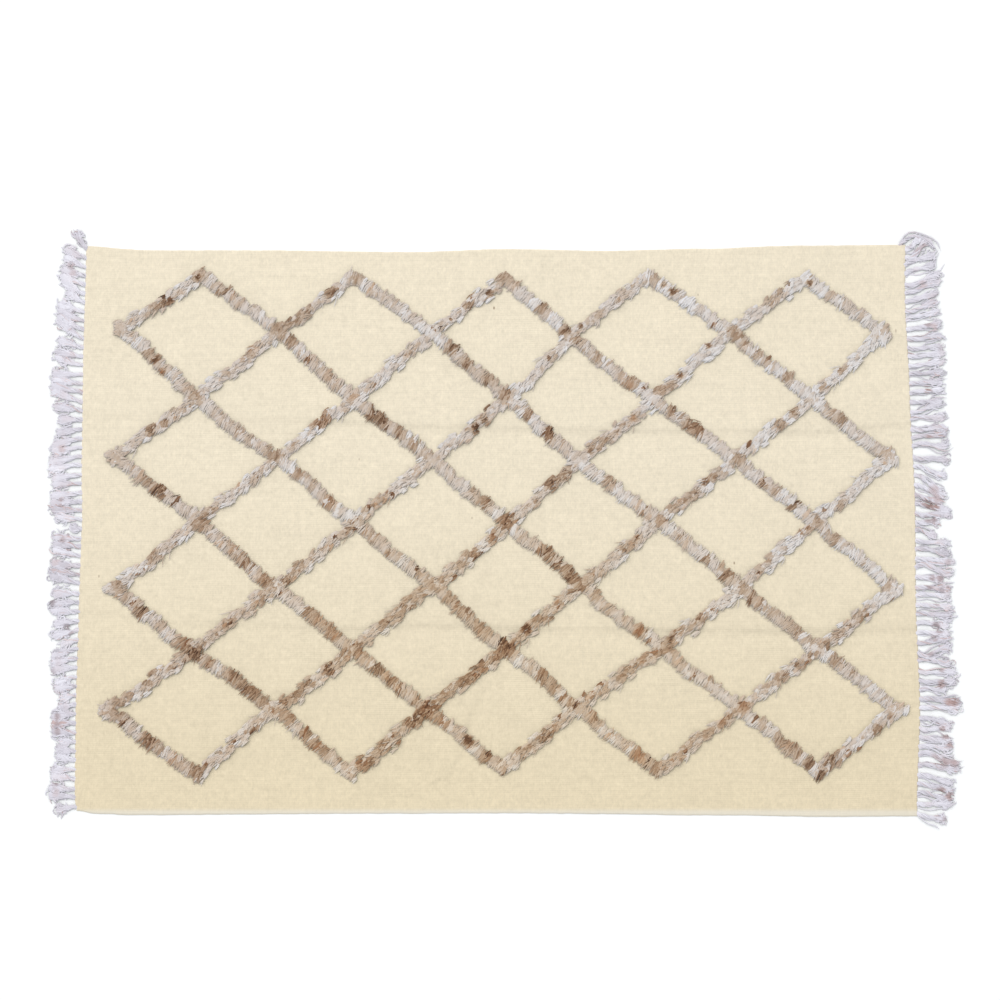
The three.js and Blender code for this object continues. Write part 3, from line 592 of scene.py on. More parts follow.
def ground_part(cloth):
    """The cloth's closed mesh: a grid on top, a rounded rim, and a flat underside."""
    length = cloth.length / MM
    shares = grid_shares(length, cloth.mesh_size / MM, RIM_INSETS)
    y = ground_rows(cloth, (shares - 0.5) * length)
    left, right = left_x(cloth, y), right_x(cloth, y)
    x = left + (right - left) * shares
    y = ground_rows(cloth, x.mean(axis=0))
    up, across = y.shape
    side_inset = np.minimum(shares, 1 - shares)[None] * length
    end_inset = np.minimum(y - y[:1], y[-1:] - y)
    radius = cloth.rim_radius / MM
    wobble = 0.55 * soft_noise(x + y, x - y, 24, 11) + 0.35 * soft_noise(x + y, x - y, 9, 12)
    edge = np.exp(-np.minimum(side_inset, end_inset) / RIM_WOBBLE_REACH)
    push_x = np.where(side_inset < end_inset, np.sign(shares - 0.5)[None], 0)
    push_y = np.where(side_inset < end_inset, 0, np.sign(y))
    x, y = x + push_x * wobble * edge, y + push_y * wobble * edge
    z = cloth_top(cloth, x, y)
    for inset in (side_inset, end_inset):
        inside = np.clip(radius - inset, 0, radius)
        z = z - (radius - np.sqrt(radius ** 2 - inside ** 2))
    z = np.maximum(z, RIM_LOWEST)
    top = np.stack([x, y, z], axis=-1).reshape(-1, 3)
    # Painted shade along the creases and wrinkles, carried in the yarn attribute
    painted_shade = painted_crease_shade(x, y).reshape(-1)

    at = np.arange(up * across).reshape(up, across)
    a, b, c, d = at[:-1, :-1], at[:-1, 1:], at[1:, 1:], at[1:, :-1]
    faces = [np.stack([a, b, c], -1).reshape(-1, 3), np.stack([a, c, d], -1).reshape(-1, 3)]
    ring = np.concatenate([at[0, :-1], at[:-1, -1], at[-1, :0:-1], at[:0:-1, 0]])
    below = top[ring] * [1, 1, 0]
    below[:, :2] *= 1 - UNDERSIDE_INSET
    low = len(top) + np.arange(len(ring))
    nxt, low_next = np.roll(ring, -1), np.roll(low, -1)
    faces += [np.stack([ring, low, low_next], -1), np.stack([ring, low_next, nxt], -1)]
    outline = [Vector(point[:2]) for point in below]
    _, _, found, _, _, _ = delaunay_2d_cdt(outline, [], [list(range(len(outline)))], 1, 1e-7)
    under = np.array(found)
    one, two, three = below[under[:, 0], :2], below[under[:, 1], :2], below[under[:, 2], :2]
    turned = np.cross(two - one, three - one) > 0
    under[turned] = under[turned][:, ::-1]
    faces.append(low[under])
    painted_shade = np.concatenate([painted_shade, np.zeros(len(below))])
    return {
        "points": np.concatenate([top, below]),
        "faces": np.concatenate(faces),
        "yarn": np.column_stack([painted_shade, painted_shade, painted_shade]),
    }


# The cloth's colour: where across the rug in metres the colour turns darker and warmer towards the near edge,
# and where the paler band along the near edge fades out, where the thick slubs show, and how strong each of
# these is
WARM_RANGE = (-0.75, 0.28)
PALE_BAND_RANGE = (-0.646, -0.634)
PALE_BAND_STRENGTH = 0.55
SLUB_RANGE = (0.72, 0.86)
SLUB_STRENGTH = 0.3
# How strongly the painted shade darkens the creases and wrinkles
CREASE_SHADE_STRENGTH = 0.075
CLOTH_LEVEL = 1.017


def cloth_paint(cloth):
    """Cream flat-woven wool: ribs with beaten weft, slubs, streaks and a few dark flecks, with painted shade
    in the creases and between the ribs, and a paler band along the near edge.
    """
    paint = Paint("cream_flat_weave")
    place = paint.object_place()
    x, y, _ = paint.parts(place)
    drift = paint.noise(place, 24.0, 2.0) - 0.5
    rib_turn = y * (2 * math.pi / cloth.rib_pitch) + drift * 5.0
    rib = rib_turn.sine() * 0.5 + 0.5
    pick_turn = x * (2 * math.pi / cloth.pick_pitch) + drift * 6.0
    beside = (rib_turn * 0.5).sine()
    pick = (pick_turn + beside * 3.0).sine() * 0.5 + 0.5
    fibre = paint.noise(paint.stretched(place, (900, 260, 900)), 1.0, 3.0, 0.6)
    streak = paint.noise(paint.stretched(place, (150, 9, 1)), 1.0, 3.0, 0.6)
    row_streak = paint.noise(paint.stretched(place, (7, 210, 1)), 1.0, 2.0, 0.6)
    mottle = paint.noise(place, 11.0, 4.0, 0.6)
    slub = paint.noise(paint.stretched(place, (260, 90, 1)), 1.0, 1.0)

    # The colour turns darker and warmer towards the near edge
    warm = 1 - y.within(*WARM_RANGE)
    colour = paint.mix([*cloth.cream, 1], [*cloth.warm_cream, 1], warm)
    speckle = paint.noise(place, 165.0, 3.0, 0.7)
    blotch = paint.noise(place, 70.0, 3.0, 0.6)
    level = CLOTH_LEVEL
    # The rib term is painted shade: the colour darkens in the grooves between the ribs, where the weave's
    # relief is lowest
    for layer, strength in (
        (mottle, 0.1), (streak, 0.08), (row_streak, 0.12), (rib, 0.03),
        (slub, 0.17), (fibre, 0.13), (speckle, 0.23), (blotch, 0.22),
    ):
        level = level + (layer - 0.5) * strength
    # The yarn attribute holds the painted shade along the creases and wrinkles, which darkens the cream
    yarn = paint.add("ShaderNodeVertexColor", {"layer_name": "yarn"})
    crease_shade = paint.add("ShaderNodeSeparateColor", values={0: yarn})
    colour = paint.darkened(colour, level - crease_shade * CREASE_SHADE_STRENGTH)
    # A paler band along the near edge
    pale_band = (1 - y.within(*PALE_BAND_RANGE)) * PALE_BAND_STRENGTH
    colour = paint.mix(colour, [*cloth.pale_band_colour, 1], pale_band)
    yellow = slub.within(*SLUB_RANGE)
    colour = paint.mix(colour, [*cloth.slub_colour, 1], yellow * SLUB_STRENGTH)
    for fleck_x, fleck_y, size, strength in FLECKS:
        values = {0: paint.stretched(place, (1, 0.5, 0)), 1: (fleck_x * MM, fleck_y * MM / 2, 0)}
        away = paint.add("ShaderNodeVectorMath", {"operation": "DISTANCE"}, values, output="Value")
        mark = 1 - away.within(size * MM * 0.3, size * MM)
        colour = paint.mix(colour, [*cloth.fleck_colour, 1], mark * strength)
    height = rib * 0.7 + pick * 0.35 + fibre * 0.35 + slub * 0.3
    return paint.wool({
        "Base Color": colour,
        "Roughness": 0.86 + (fibre - 0.5) * 0.2,
        "Normal": paint.bump(height, cloth.weave_depth),
    })


# Depth of the fibres' relief in metres
FIBRE_DEPTH = 0.0002


def yarn_paint(name, stops, rust_stops, fibre_scale, tints=None):
    """Loose wool: the yarn attribute gives each lock's tone, rust share and chance."""
    paint = Paint(name)
    yarn = paint.add("ShaderNodeVertexColor", {"layer_name": "yarn"})
    tone, rust, chance = [
        paint.add("ShaderNodeSeparateColor", values={0: yarn}, output=i) for i in range(3)
    ]
    along = paint.add("ShaderNodeUVMap", {"uv_map": "along"})
    place = paint.object_place()
    fibre = paint.noise(paint.stretched(along, fibre_scale), 1.0, 3.0, 0.6)
    fluff = paint.noise(place, 420.0, 2.0)
    tone = tone + (fibre - 0.5) * 0.1 + (fluff - 0.5) * 0.06
    colour = paint.add("ShaderNodeValToRGB", {"stops": stops}, {0: tone})
    red = paint.add("ShaderNodeValToRGB", {"stops": rust_stops}, {0: tone})
    colour = paint.mix(colour, red, rust.within(0.0, 1.0))
    colour = paint.darkened(colour, 0.97 + chance * 0.06)
    if tints:
        values = {0: paint.stretched(place, TINT_STRETCH), 1: TINT_CENTRE}
        away = paint.add("ShaderNodeVectorMath", {"operation": "DISTANCE"}, values, output="Value")
        tint = paint.mix(*tints, away.within(*TINT_RANGE))
        settings = {"data_type": "RGBA", "blend_type": "MULTIPLY"}
        colour = paint.add("ShaderNodeMix", settings, {0: 1.0, 6: colour, 7: tint}, output=2)
    return paint.wool({
        "Base Color": colour,
        "Roughness": 0.8 + fibre * 0.2,
        "Normal": paint.bump(fibre, FIBRE_DEPTH),
    })


def crossing(column, row):
    """Where two bands cross, from the crossing's column and row."""
    y, places, lifts = CROSSINGS[row]
    place = (column - 1) // 2 if row % 2 == 0 else column // 2
    return places[place], y + lifts[place]


def trellis_runs():
    """Every straight run of the trellis: its way, 1 falling or -1 rising, first row and crossings."""
    runs = []
    for way in (1, -1):
        side = 0 if way == 1 else CROSSING_COLUMNS - 1
        starts = [(column, 0) for column in range(1, CROSSING_COLUMNS, 2)]
        starts += [(side, row) for row in range(1, len(CROSSINGS), 2)]
        for column, first_row in starts:
            places = []
            row = first_row
            while 0 <= column < CROSSING_COLUMNS and row < len(CROSSINGS):
                places.append(crossing(column, row))
                column, row = column + way, row + 1
            runs.append((way, first_row, np.array(places, float)))
    return runs


def along_run(corners, at):
    """Points and headings at these distances along a run."""
    legs = np.diff(corners, axis=0)
    lengths = np.linalg.norm(legs, axis=1)
    ends = np.cumsum(lengths)
    leg = np.clip(np.searchsorted(ends, at), 0, len(legs) - 1)
    heading = legs[leg] / lengths[leg][:, None]
    return corners[leg] + heading * (at - (ends - lengths)[leg])[:, None], heading


def band_line(run_number, corners, at):
    """A band's middle and sideways direction at these distances, with the wander of hand-tied rows."""
    centre, heading = along_run(corners, at)
    side = np.column_stack([heading[:, 1], -heading[:, 0]])
    row = 0 * at + 57.0 * run_number
    wander = 3.2 * soft_noise(at, row, 105, 31) + 3.4 * soft_noise(at, row, 40, 32)
    return centre + side * wander[:, None], side


def yarn_runs(rng, length, at):
    """The tone of the yarn at each place along a run: the knots change yarn every few centimetres."""
    stops = np.cumsum(rng.gamma(3.0, 13.0, int(length / 12) + 8))
    tones = np.clip(rng.normal(0.69, 0.09, len(stops) + 1), 0.4, 0.97)
    return tones[np.searchsorted(stops, at)]


def patched(patches, rng, x, y, tone, rust):
    """The tones and rust shares with a table's dark and red patches worked in, one by one."""
    each = (len(x), *[1] * (x.ndim - 1))
    for place_x, place_y, radius, patch_tone, patch_rust in patches:
        away = np.hypot(x - place_x, y - place_y) / (radius * rng.uniform(0.85, 1.15, each))
        share = np.clip(1.3 - away, 0, 1) ** 0.4
        share = share * (rng.random(each) < 0.45 + 0.55 * share) * rng.uniform(0.8, 1.0, each)
        tone = tone + (patch_tone - tone) * share
        rust = rust + (patch_rust - rust) * share
    return tone, rust


# Where the trellis turns at the short edges, in mm: crossings beyond this x get further knots, which lie
# within this reach of the turn, and at the left tips the locks flare from this x over this width
TIP_X = 840
TIP_REACH = 17
FLARE_X = -832
FLARE_WIDTH = 26
# The palest tone before the patches, and the share of knots that are rust and that are dark
PALEST_TONE = 0.9
RUST_SHARE = 0.07
DARK_SHARE = 0.02


def run_tufts(pile, rng, number, way, corners):
    """The knots of one run: the place, way, size and colour of each one's tuft."""
    wide, long, full = (1, 1, 1) if way == 1 else (pile.rising_share, pile.rising_reach, pile.rising_tuft)
    width = pile.band_width / MM * wide
    length = np.linalg.norm(np.diff(corners, axis=0), axis=1).sum()
    count = int(length / 1000 * pile.tufts_per_metre / long / full)
    spare = 0.22 * width
    at = (np.arange(count) + rng.uniform(0, 1, count)) / count * (length + 2 * spare) - spare
    ends = [at_end for at_end, x in ((0.0, corners[0, 0]), (length, corners[-1, 0])) if abs(x) > TIP_X]
    extra = [rng.uniform(-TIP_REACH, TIP_REACH, pile.tip_tufts) + at_end for at_end in ends]
    spread = np.repeat([1.0, 2.2], [count, sum(map(len, extra))])
    at = np.concatenate([at, *extra])
    count = len(at)
    centre, side = band_line(number, corners, at)
    comb = math.radians(pile.comb_falling if way == 1 else pile.comb_rising)
    turn = comb + rng.normal(0, 0.17, count) + 0.26 * soft_noise(centre[:, 0], centre[:, 1], 48, 22)
    flare = np.clip((FLARE_X - centre[:, 0]) / FLARE_WIDTH, 0, 1)
    turn -= flare * rng.uniform(-0.1, 1.35, count)
    reach = rng.uniform(pile.lock_short, pile.lock_long, count) / MM
    reach = reach * (1 - 0.25 * flare) * long
    way_out = np.column_stack([np.cos(turn), np.sin(turn)])
    crosswise = np.abs(np.sum(way_out * side, axis=1))
    tuft_width = rng.uniform(0.75, 1.25, count) * pile.tuft_width / MM * full
    taken = reach * crosswise + tuft_width * np.sqrt(1 - crosswise ** 2)
    row = 0 * at + 57.0 * number
    swell = 1 + 0.13 * soft_noise(at, row, 70, 34) + 0.08 * soft_noise(at, row, 28, 35)
    room = np.maximum(width * swell - taken, 0)
    offset = rng.uniform(-0.5, 0.5, count) * room + rng.normal(0, pile.ragged / MM, count) * spread
    middle = centre + side * offset[:, None]
    across_share, up_share = middle[:, 0] / 950, middle[:, 1] / 650
    tone = yarn_runs(rng, length, at) + rng.normal(0, 0.085, count) + 0.07 * soft_noise(at, row, 120, 36)
    # Tufts towards the band's rims are paler: painted light that lifts the shade and shadow where the locks
    # fan down at the rims
    rim = np.clip(2 * np.abs(offset) / width, 0, 1) ** 2
    tone = tone + 0.045 * across_share + 0.035 * up_share + 0.26 * rim - 0.05
    for place_x, place_y, drift_reach, change in DRIFTS:
        away = np.hypot(middle[:, 0] - place_x, middle[:, 1] - place_y) / drift_reach
        tone = tone + change * np.exp(-away ** 2)
    rust = np.where(rng.random(count) < RUST_SHARE, rng.uniform(0.2, 0.7, count), 0.1)
    dark = rng.random(count) < DARK_SHARE - 0.01 * across_share - 0.01 * up_share
    tone = np.where(dark, rng.uniform(0.2, 0.4, count), tone)
    rust = np.where(dark, rng.uniform(0.2, 0.55, count), rust) - 0.03 * across_share - 0.09 * up_share
    tone = np.minimum(tone, PALEST_TONE)
    tone, rust = patched(PATCHES, rng, middle[:, 0], middle[:, 1], tone, rust)
    crest = rng.uniform(0.84, 1.0, count) * pile.height / MM * (1 - 0.5 * np.abs(offset) / width)
    return middle, turn, reach, tuft_width, crest, tone, rust


# A lock station by station from its root: its place, and its width, lift, curl, tone and rust there
LOCK_SHARES = np.array([0, 0.32, 0.66, 1.0])
LOCK_WIDTHS = np.array([0.75, 1.0, 0.95, 0.0])
LOCK_LIFTS = np.array([0.5, 1.0, 0.82, 0.07])
LOCK_CURLS = np.array([0, 1.0, 0.6, -0.6])
# The paler tips are painted light: they lift the shade where the tips slope down away from the light
LOCK_TONES = np.array([-0.02, -0.02, 0.01, 0.18])
LOCK_RUSTS = np.array([0.08, 0.02, 0.02, 0.0])
# A lock's sides and points, and the share of locks that stray
LOCK_SIDES = 3
LOCK_POINTS = LOCK_SIDES * (len(LOCK_SHARES) - 1) + 1
STRAY_SHARE = 0.15


def pile_locks(pile, cloth, rng, number, way, corners):
    """The locks of one run: fine locks that lie side by side in rounded tufts."""
    knots = run_tufts(pile, rng, number, way, corners)
    each = round(pile.locks_in_tuft * (1 if way == 1 else pile.rising_tuft))
    count = len(knots[0]) * each
    middle, turn, reach, tuft_width, crest, tone, rust = [np.repeat(v, each, axis=0) for v in knots]
    beside = np.tile((np.arange(each) + 0.5) / each - 0.5, len(knots[0]))
    beside = np.clip(beside + rng.normal(0, 0.06, count), -0.55, 0.55)
    stray = rng.random(count) < STRAY_SHARE
    way_out = np.column_stack([np.cos(turn), np.sin(turn)])
    level = np.column_stack([way_out[:, 1], -way_out[:, 0]])
    own_turn = turn - beside * 0.22 + rng.normal(0, 0.05, count) + stray * rng.normal(0, 0.3, count)
    own_reach = reach * rng.uniform(0.76, 1.06, count) * np.where(stray, rng.uniform(0.9, 1.25, count), 1)
    shift = rng.normal(0, 0.07, count) * reach
    own_way = np.column_stack([np.cos(own_turn), np.sin(own_turn)])
    own_level = np.column_stack([own_way[:, 1], -own_way[:, 0]])
    root = middle + level * (beside * tuft_width)[:, None] + way_out * (shift - own_reach * 0.5)[:, None]
    curl = rng.normal(0, 0.9, count)[:, None] * LOCK_CURLS
    flat = root[:, None] + own_way[:, None] * (LOCK_SHARES * own_reach[:, None])[..., None]
    flat = flat + own_level[:, None] * curl[..., None]
    rounded = 0.7 + 0.3 * np.sqrt(1 - np.clip(2 * np.abs(beside) * 0.9, 0, 1) ** 2)
    own_crest = crest * rounded * rng.uniform(0.96, 1.02, count)
    lift = own_crest[:, None] * LOCK_LIFTS
    height = cloth_top(cloth, flat[..., 0], flat[..., 1]) + 0.2 + lift
    spines = np.concatenate([flat, height[..., None]], axis=2)
    thickness = rng.uniform(pile.lock_thin, pile.lock_thick, count) / MM * np.where(stray, 0.6, 1)
    halves = thickness[:, None] / 2 * LOCK_WIDTHS
    tone = tone + rng.normal(0, 1, count) * (0.03 + 0.3 * np.clip(0.5 - tone, 0, 0.4))
    tone, rust = patched(
        SPOTS, rng, flat[..., 0], flat[..., 1], tone[:, None] + LOCK_TONES, rust[:, None] + LOCK_RUSTS,
    )
    by_station = np.stack([
        tone,
        rust,
        np.broadcast_to(rng.random(count)[:, None], (count, len(LOCK_SHARES))),
    ], axis=-1)
    sideways = np.column_stack([own_level, np.zeros(count)])[:, None]
    yarn = np.clip(by_station, 0, 1)
    shift = rng.uniform(0, FIBRE_SHIFT, count)
    return tubes(spines, halves, LOCK_SIDES, sideways, pile.lock_flatness, yarn, shift), root[:, 1]


# The bed of knots in mm: the distance of its stations and its height, and its half width as a share of
# the band's width, its number of sides and its flatness
BED_STEP = 7
BED_HEIGHT = 2.3
BED_HALF = 0.38
BED_SIDES = 6
BED_FLATNESS = 0.22


def pile_bed(pile, cloth, rng, number, corners, start, stop):
    """The low bed of knots under one stretch of a run's locks."""
    at = np.linspace(start, stop, int((stop - start) / BED_STEP))
    centre, side = band_line(number, corners, at)
    height = cloth_top(cloth, centre[:, 0], centre[:, 1]) + BED_HEIGHT
    spine = np.column_stack([centre, height])[None]
    halves = (pile.band_width / MM * BED_HALF + rng.normal(0, 0.8, len(at)))[None]
    sideways = np.column_stack([side, np.zeros(len(at))])[None]
    tone = np.clip(0.66 + 0.08 * soft_noise(at, 0 * at + 31.0 * number, 15, 33), 0, 1)
    yarn = np.column_stack([tone, 0 * at + 0.1, rng.random(len(at))])[None]
    return tubes(spine, halves, BED_SIDES, sideways, BED_FLATNESS, yarn, np.zeros(1))


def cut(part, keep, size):
    """The tubes of a part that are kept, when each has this many points."""
    faces_each = len(part["faces"]) // len(keep)
    index = np.flatnonzero(keep)
    local = part["faces"].reshape(len(keep), faces_each, 3) - (np.arange(len(keep)) * size)[:, None, None]
    return {
        "points": part["points"].reshape(len(keep), size, 3)[index].reshape(-1, 3),
        "normals": part["normals"].reshape(len(keep), size, 3)[index].reshape(-1, 3),
        "faces": (local[index] + (np.arange(len(index)) * size)[:, None, None]).reshape(-1, 3),
        "uv": part["uv"].reshape(len(keep), faces_each * 3, 2)[index].reshape(-1, 2),
        "yarn": part["yarn"].reshape(len(keep), size, 3)[index].reshape(-1, 3),
    }


# In mm: how far a cord starts inside the cloth, and the reach from which its end opens to the full
ROOT_OVERLAP = 3.4
FULL_END_REACH = 50


def fringe_cords(fringe, cloth, rng, tufts, way):
    """The cords of one fringe, each a loose bundle of yarns with an opened and tangled end."""
    edge_x = left_x if way < 0 else right_x
    corner_x = way * cloth.length / MM / 2
    total = sum(strands for strands, _, _ in tufts)
    high = far_y(cloth, corner_x) - fringe.root_inset / MM
    low = near_y(cloth, corner_x) + fringe.root_inset / MM
    pitch = (high - low) / (total - 1)
    opening = fringe.open_left if way < 0 else fringe.open_right
    end_width = (fringe.end_width_left if way < 0 else fringe.end_width_right) / MM
    curls = (fringe.curls_left, fringe.curl_left) if way < 0 else (fringe.curls_right, fringe.curl_right)
    bow = fringe.bow_left if way < 0 else fringe.bow_right
    strays = fringe.strays_left if way < 0 else fringe.strays_right
    parts = []
    number = 0
    for strands, reach, lean in tufts:
        middle = high - pitch * (number + (strands - 1) / 2)
        for member in range(strands):
            root_y = high - pitch * number
            spread = (strands - 1) / 2 - member
            tip_y = middle + lean + spread * fringe.gather / MM + rng.normal(0, 30 * bow)
            edge = float(edge_x(cloth, root_y))
            root = np.array([edge - way * ROOT_OVERLAP, root_y])
            tip = np.array([edge + way * reach, tip_y])
            path = cord_path(root, tip, rng, bow)
            opens = opening * rng.uniform(0.8, 1.15)
            pale = rng.uniform(0.54, 0.74)
            wide = end_width * min(1, reach / FULL_END_REACH)
            parts.append(cord_core(fringe, rng, path, opens, wide, pale))
            parts.append(cord_yarns(fringe, rng, path, opens, wide, pale))
            parts.append(end_curls(rng, path, opens, wide, pale, *curls, fringe.flatness))
            if strays:
                parts.append(stray_yarns(rng, path, pale, strays, fringe.flatness))
            number += 1
    return parts


def cord_path(root, tip, rng, bow):
    """A function that gives points and level side vectors along a cord's bend, at shares from 0 to 1."""
    run = tip - root
    aside = np.array([-run[1], run[0]]) * rng.normal(0, bow)
    return curve([root, root + run * [0.35, 0.12] + aside, root + run * [0.7, 0.8] - aside, tip])


def curve(control):
    """The same for a curve with these four control points, and about how long it is."""
    def bend(part):
        part = np.asarray(part)[..., None]
        weights = [(1 - part) ** 3, 3 * part * (1 - part) ** 2, 3 * part ** 2 * (1 - part), part ** 3]
        slopes = [
            -3 * (1 - part) ** 2, 3 * (1 - part) * (1 - 3 * part), 3 * part * (2 - 3 * part), 3 * part ** 2,
        ]
        heading = sum(slope * point for slope, point in zip(slopes, control))
        heading = heading / np.linalg.norm(heading, axis=-1, keepdims=True)
        place = sum(weight * point for weight, point in zip(weights, control))
        return place, heading, np.stack([-heading[..., 1], heading[..., 0]], axis=-1)

    return bend, np.linalg.norm(np.diff(bend(np.linspace(0, 1, 9))[0], axis=0), axis=1).sum()


# The share of a fringe's yarns that are rust, and the number of sides of its yarns
RED_SHARE = 0.08
YARN_SIDES = 3


def fringe_yarn(rng, spines, pale):
    """The tone, rust share and chance of yarns, station by station."""
    x, y = spines[..., 0], spines[..., 1]
    count = len(spines)
    tone = pale + rng.normal(0, 0.06, (count, 1)) + 0.07 * soft_noise(x, y, 13, 41)
    red = rng.random((count, 1)) < RED_SHARE
    rust = np.where(red, rng.uniform(0.3, 0.7, (count, 1)), 0.08)
    rust = rust + 0.3 * np.clip(soft_noise(x, y, 19, 42), 0, 1)
    tone, rust = patched(FRINGE_PATCHES, rng, x, y, tone, rust)
    chance = np.broadcast_to(rng.random((count, 1)), x.shape)
    return np.clip(np.stack([tone, rust, chance], axis=-1), 0, 1)


# A cord core's height as a share of its width
CORE_FLATNESS = 0.24


def cord_core(fringe, rng, path, opens, end_width, pale):
    """The felted wool inside a cord, flat and low, that closes the gaps between its yarns."""
    bend, _ = path
    at = np.linspace(0, 0.94, 10)
    place, _, side = bend(at)
    opened = np.clip((at - opens) / (1 - opens), 0, 1)
    halves = fringe.cord_width / MM * 0.3 * (1 - opened) + end_width * 0.45 * np.sqrt(opened)
    halves = halves * rng.uniform(0.9, 1.1, len(at))
    spine = np.column_stack([place, halves * CORE_FLATNESS + 0.5 + 0.5 * (1 - opened)])[None]
    across = np.column_stack([-side, np.zeros(len(at))])[None]
    yarn = fringe_yarn(rng, spine, pale)
    return tubes(spine, halves[None], YARN_SIDES, across, CORE_FLATNESS, yarn, np.zeros(1))


def cord_yarns(fringe, rng, path, opens, end_width, pale):
    """The yarns that run all along a cord: twisted together, and splayed past its opening."""
    bend, length = path
    count = fringe.cord_yarns
    share = np.linspace(0, 1, 14)[None]
    splay = (np.arange(count) + rng.uniform(0.2, 0.8, count)) / count * 2 - 1
    reach = rng.uniform(0.82, 1.0, count) * (1 - 0.16 * splay ** 2)
    at = share * reach[:, None]
    place, heading, side = bend(at)
    opened = np.clip((at - opens) / (1 - opens), 0, 1)
    opened = opened ** 0.75
    ring = fringe.cord_width / MM / 2 * rng.uniform(0.2, 0.74, (count, 1)) * (1 + 0.15 * np.sin(at * 9))
    turn = 2 * math.pi * at * length / (fringe.lay / MM) + rng.uniform(0, TURN, (count, 1))
    off = ring * np.cos(turn) * (1 - opened) + splay[:, None] * end_width / 2 * opened
    phase = rng.uniform(0, TURN, (4, count, 1))
    wave = np.sin(at * length / rng.uniform(2.2, 4.5, (count, 1)) + phase[0])
    off = off + rng.uniform(0.6, 2.2, (count, 1)) * wave * opened
    off = off + rng.normal(0, 2.4, (count, 1)) * opened ** 2 + 1.2 * np.sin(at * 6 + phase[1][0, 0]) * at
    along = 1.6 * np.sin(at * length / rng.uniform(2.5, 5.0, (count, 1)) + phase[2]) * opened
    flat = place + side * off[..., None] + heading * along[..., None]
    low = fringe.cord_width / MM * 0.3
    z = low + 0.4 + 0.55 * ring * np.sin(turn) * (1 - opened) + rng.uniform(-1.2, 1.8, (count, 1)) * opened
    halves = rng.uniform(1.3, 2.1, (count, 1)) * (1 - 0.1 * opened)
    z = z * np.clip(0.4 + at * length / 14, 0, 1)
    z = np.maximum(z, halves * fringe.flatness + 0.1)
    spines = np.concatenate([flat, z[..., None]], axis=2)
    across = np.concatenate([-side, np.zeros((*side.shape[:2], 1))], axis=2)
    yarn = fringe_yarn(rng, spines, pale)
    shift = rng.uniform(0, FIBRE_SHIFT, count)
    return tubes(spines, halves, YARN_SIDES, across, fringe.flatness, yarn, shift)


def end_curls(rng, path, opens, end_width, pale, count, curl_spread, flatness):
    """The short curls that fill out a cord's opened end."""
    bend, _ = path
    angle = rng.uniform(0, 2 * math.pi, count)
    out = rng.uniform(0, 1, count) ** 0.5
    middle = (opens + 1) / 2 + 0.02
    at = middle + (1 - middle - 0.04) * out * np.cos(angle)
    place, heading, side = bend(at)
    place = place + side * (out * np.sin(angle) * end_width / 2)[:, None]
    way = np.arctan2(heading[:, 1], heading[:, 0]) + rng.normal(0, curl_spread, count)
    share = np.linspace(0, 1, 6)
    curl = rng.normal(0, 1.1, count)
    reach = rng.uniform(10, 21, count)
    ways = way[:, None] + curl[:, None] * (share - 0.5) * 2
    steps = np.stack([np.cos(ways), np.sin(ways)], axis=-1) * (reach / 5)[:, None, None]
    flat = np.cumsum(steps, axis=1) - steps.sum(axis=1, keepdims=True) / 2 + place[:, None]
    z = rng.uniform(3.2, 5.4, (count, 1)) + rng.uniform(0.2, 0.8, (count, 1)) * np.sin(share * math.pi)
    halves = rng.uniform(1.2, 2.1, (count, 1)) * np.array([0.6, 1.0, 1.1, 1.0, 0.8, 0.0])
    z = np.maximum(z - 2.2 * out[:, None] ** 2, 1.0)
    spines = np.concatenate([flat, z[..., None]], axis=2)
    across = np.stack([np.sin(ways), -np.cos(ways), 0 * ways], axis=-1)
    yarn = fringe_yarn(rng, spines, pale)
    return tubes(spines, halves, YARN_SIDES, across, flatness, yarn, rng.uniform(0, FIBRE_SHIFT, count))


# The yarn that loops round the cloth's far right corner: its curve's control points in mm, the share of
# its length where it opens, its opened width in mm, its tone, and how many yarns stray beside it
CORNER_LOOP = [(934, 650), (952, 684), (1000, 684), (1014, 634)]
CORNER_OPENS = 0.45
CORNER_WIDTH = 13.0
CORNER_TONE = 0.52
CORNER_STRAYS = 3
CORNER_STRAY_TONE = 0.5


def corner_loop(fringe, rng):
    """The loose cord that is pulled round the cloth's corner."""
    path = curve([np.array(point, float) for point in CORNER_LOOP])
    return [
        cord_core(fringe, rng, path, CORNER_OPENS, CORNER_WIDTH, CORNER_TONE),
        cord_yarns(fringe, rng, path, CORNER_OPENS, CORNER_WIDTH, CORNER_TONE),
        stray_yarns(rng, path, CORNER_STRAY_TONE, CORNER_STRAYS, fringe.flatness),
    ]


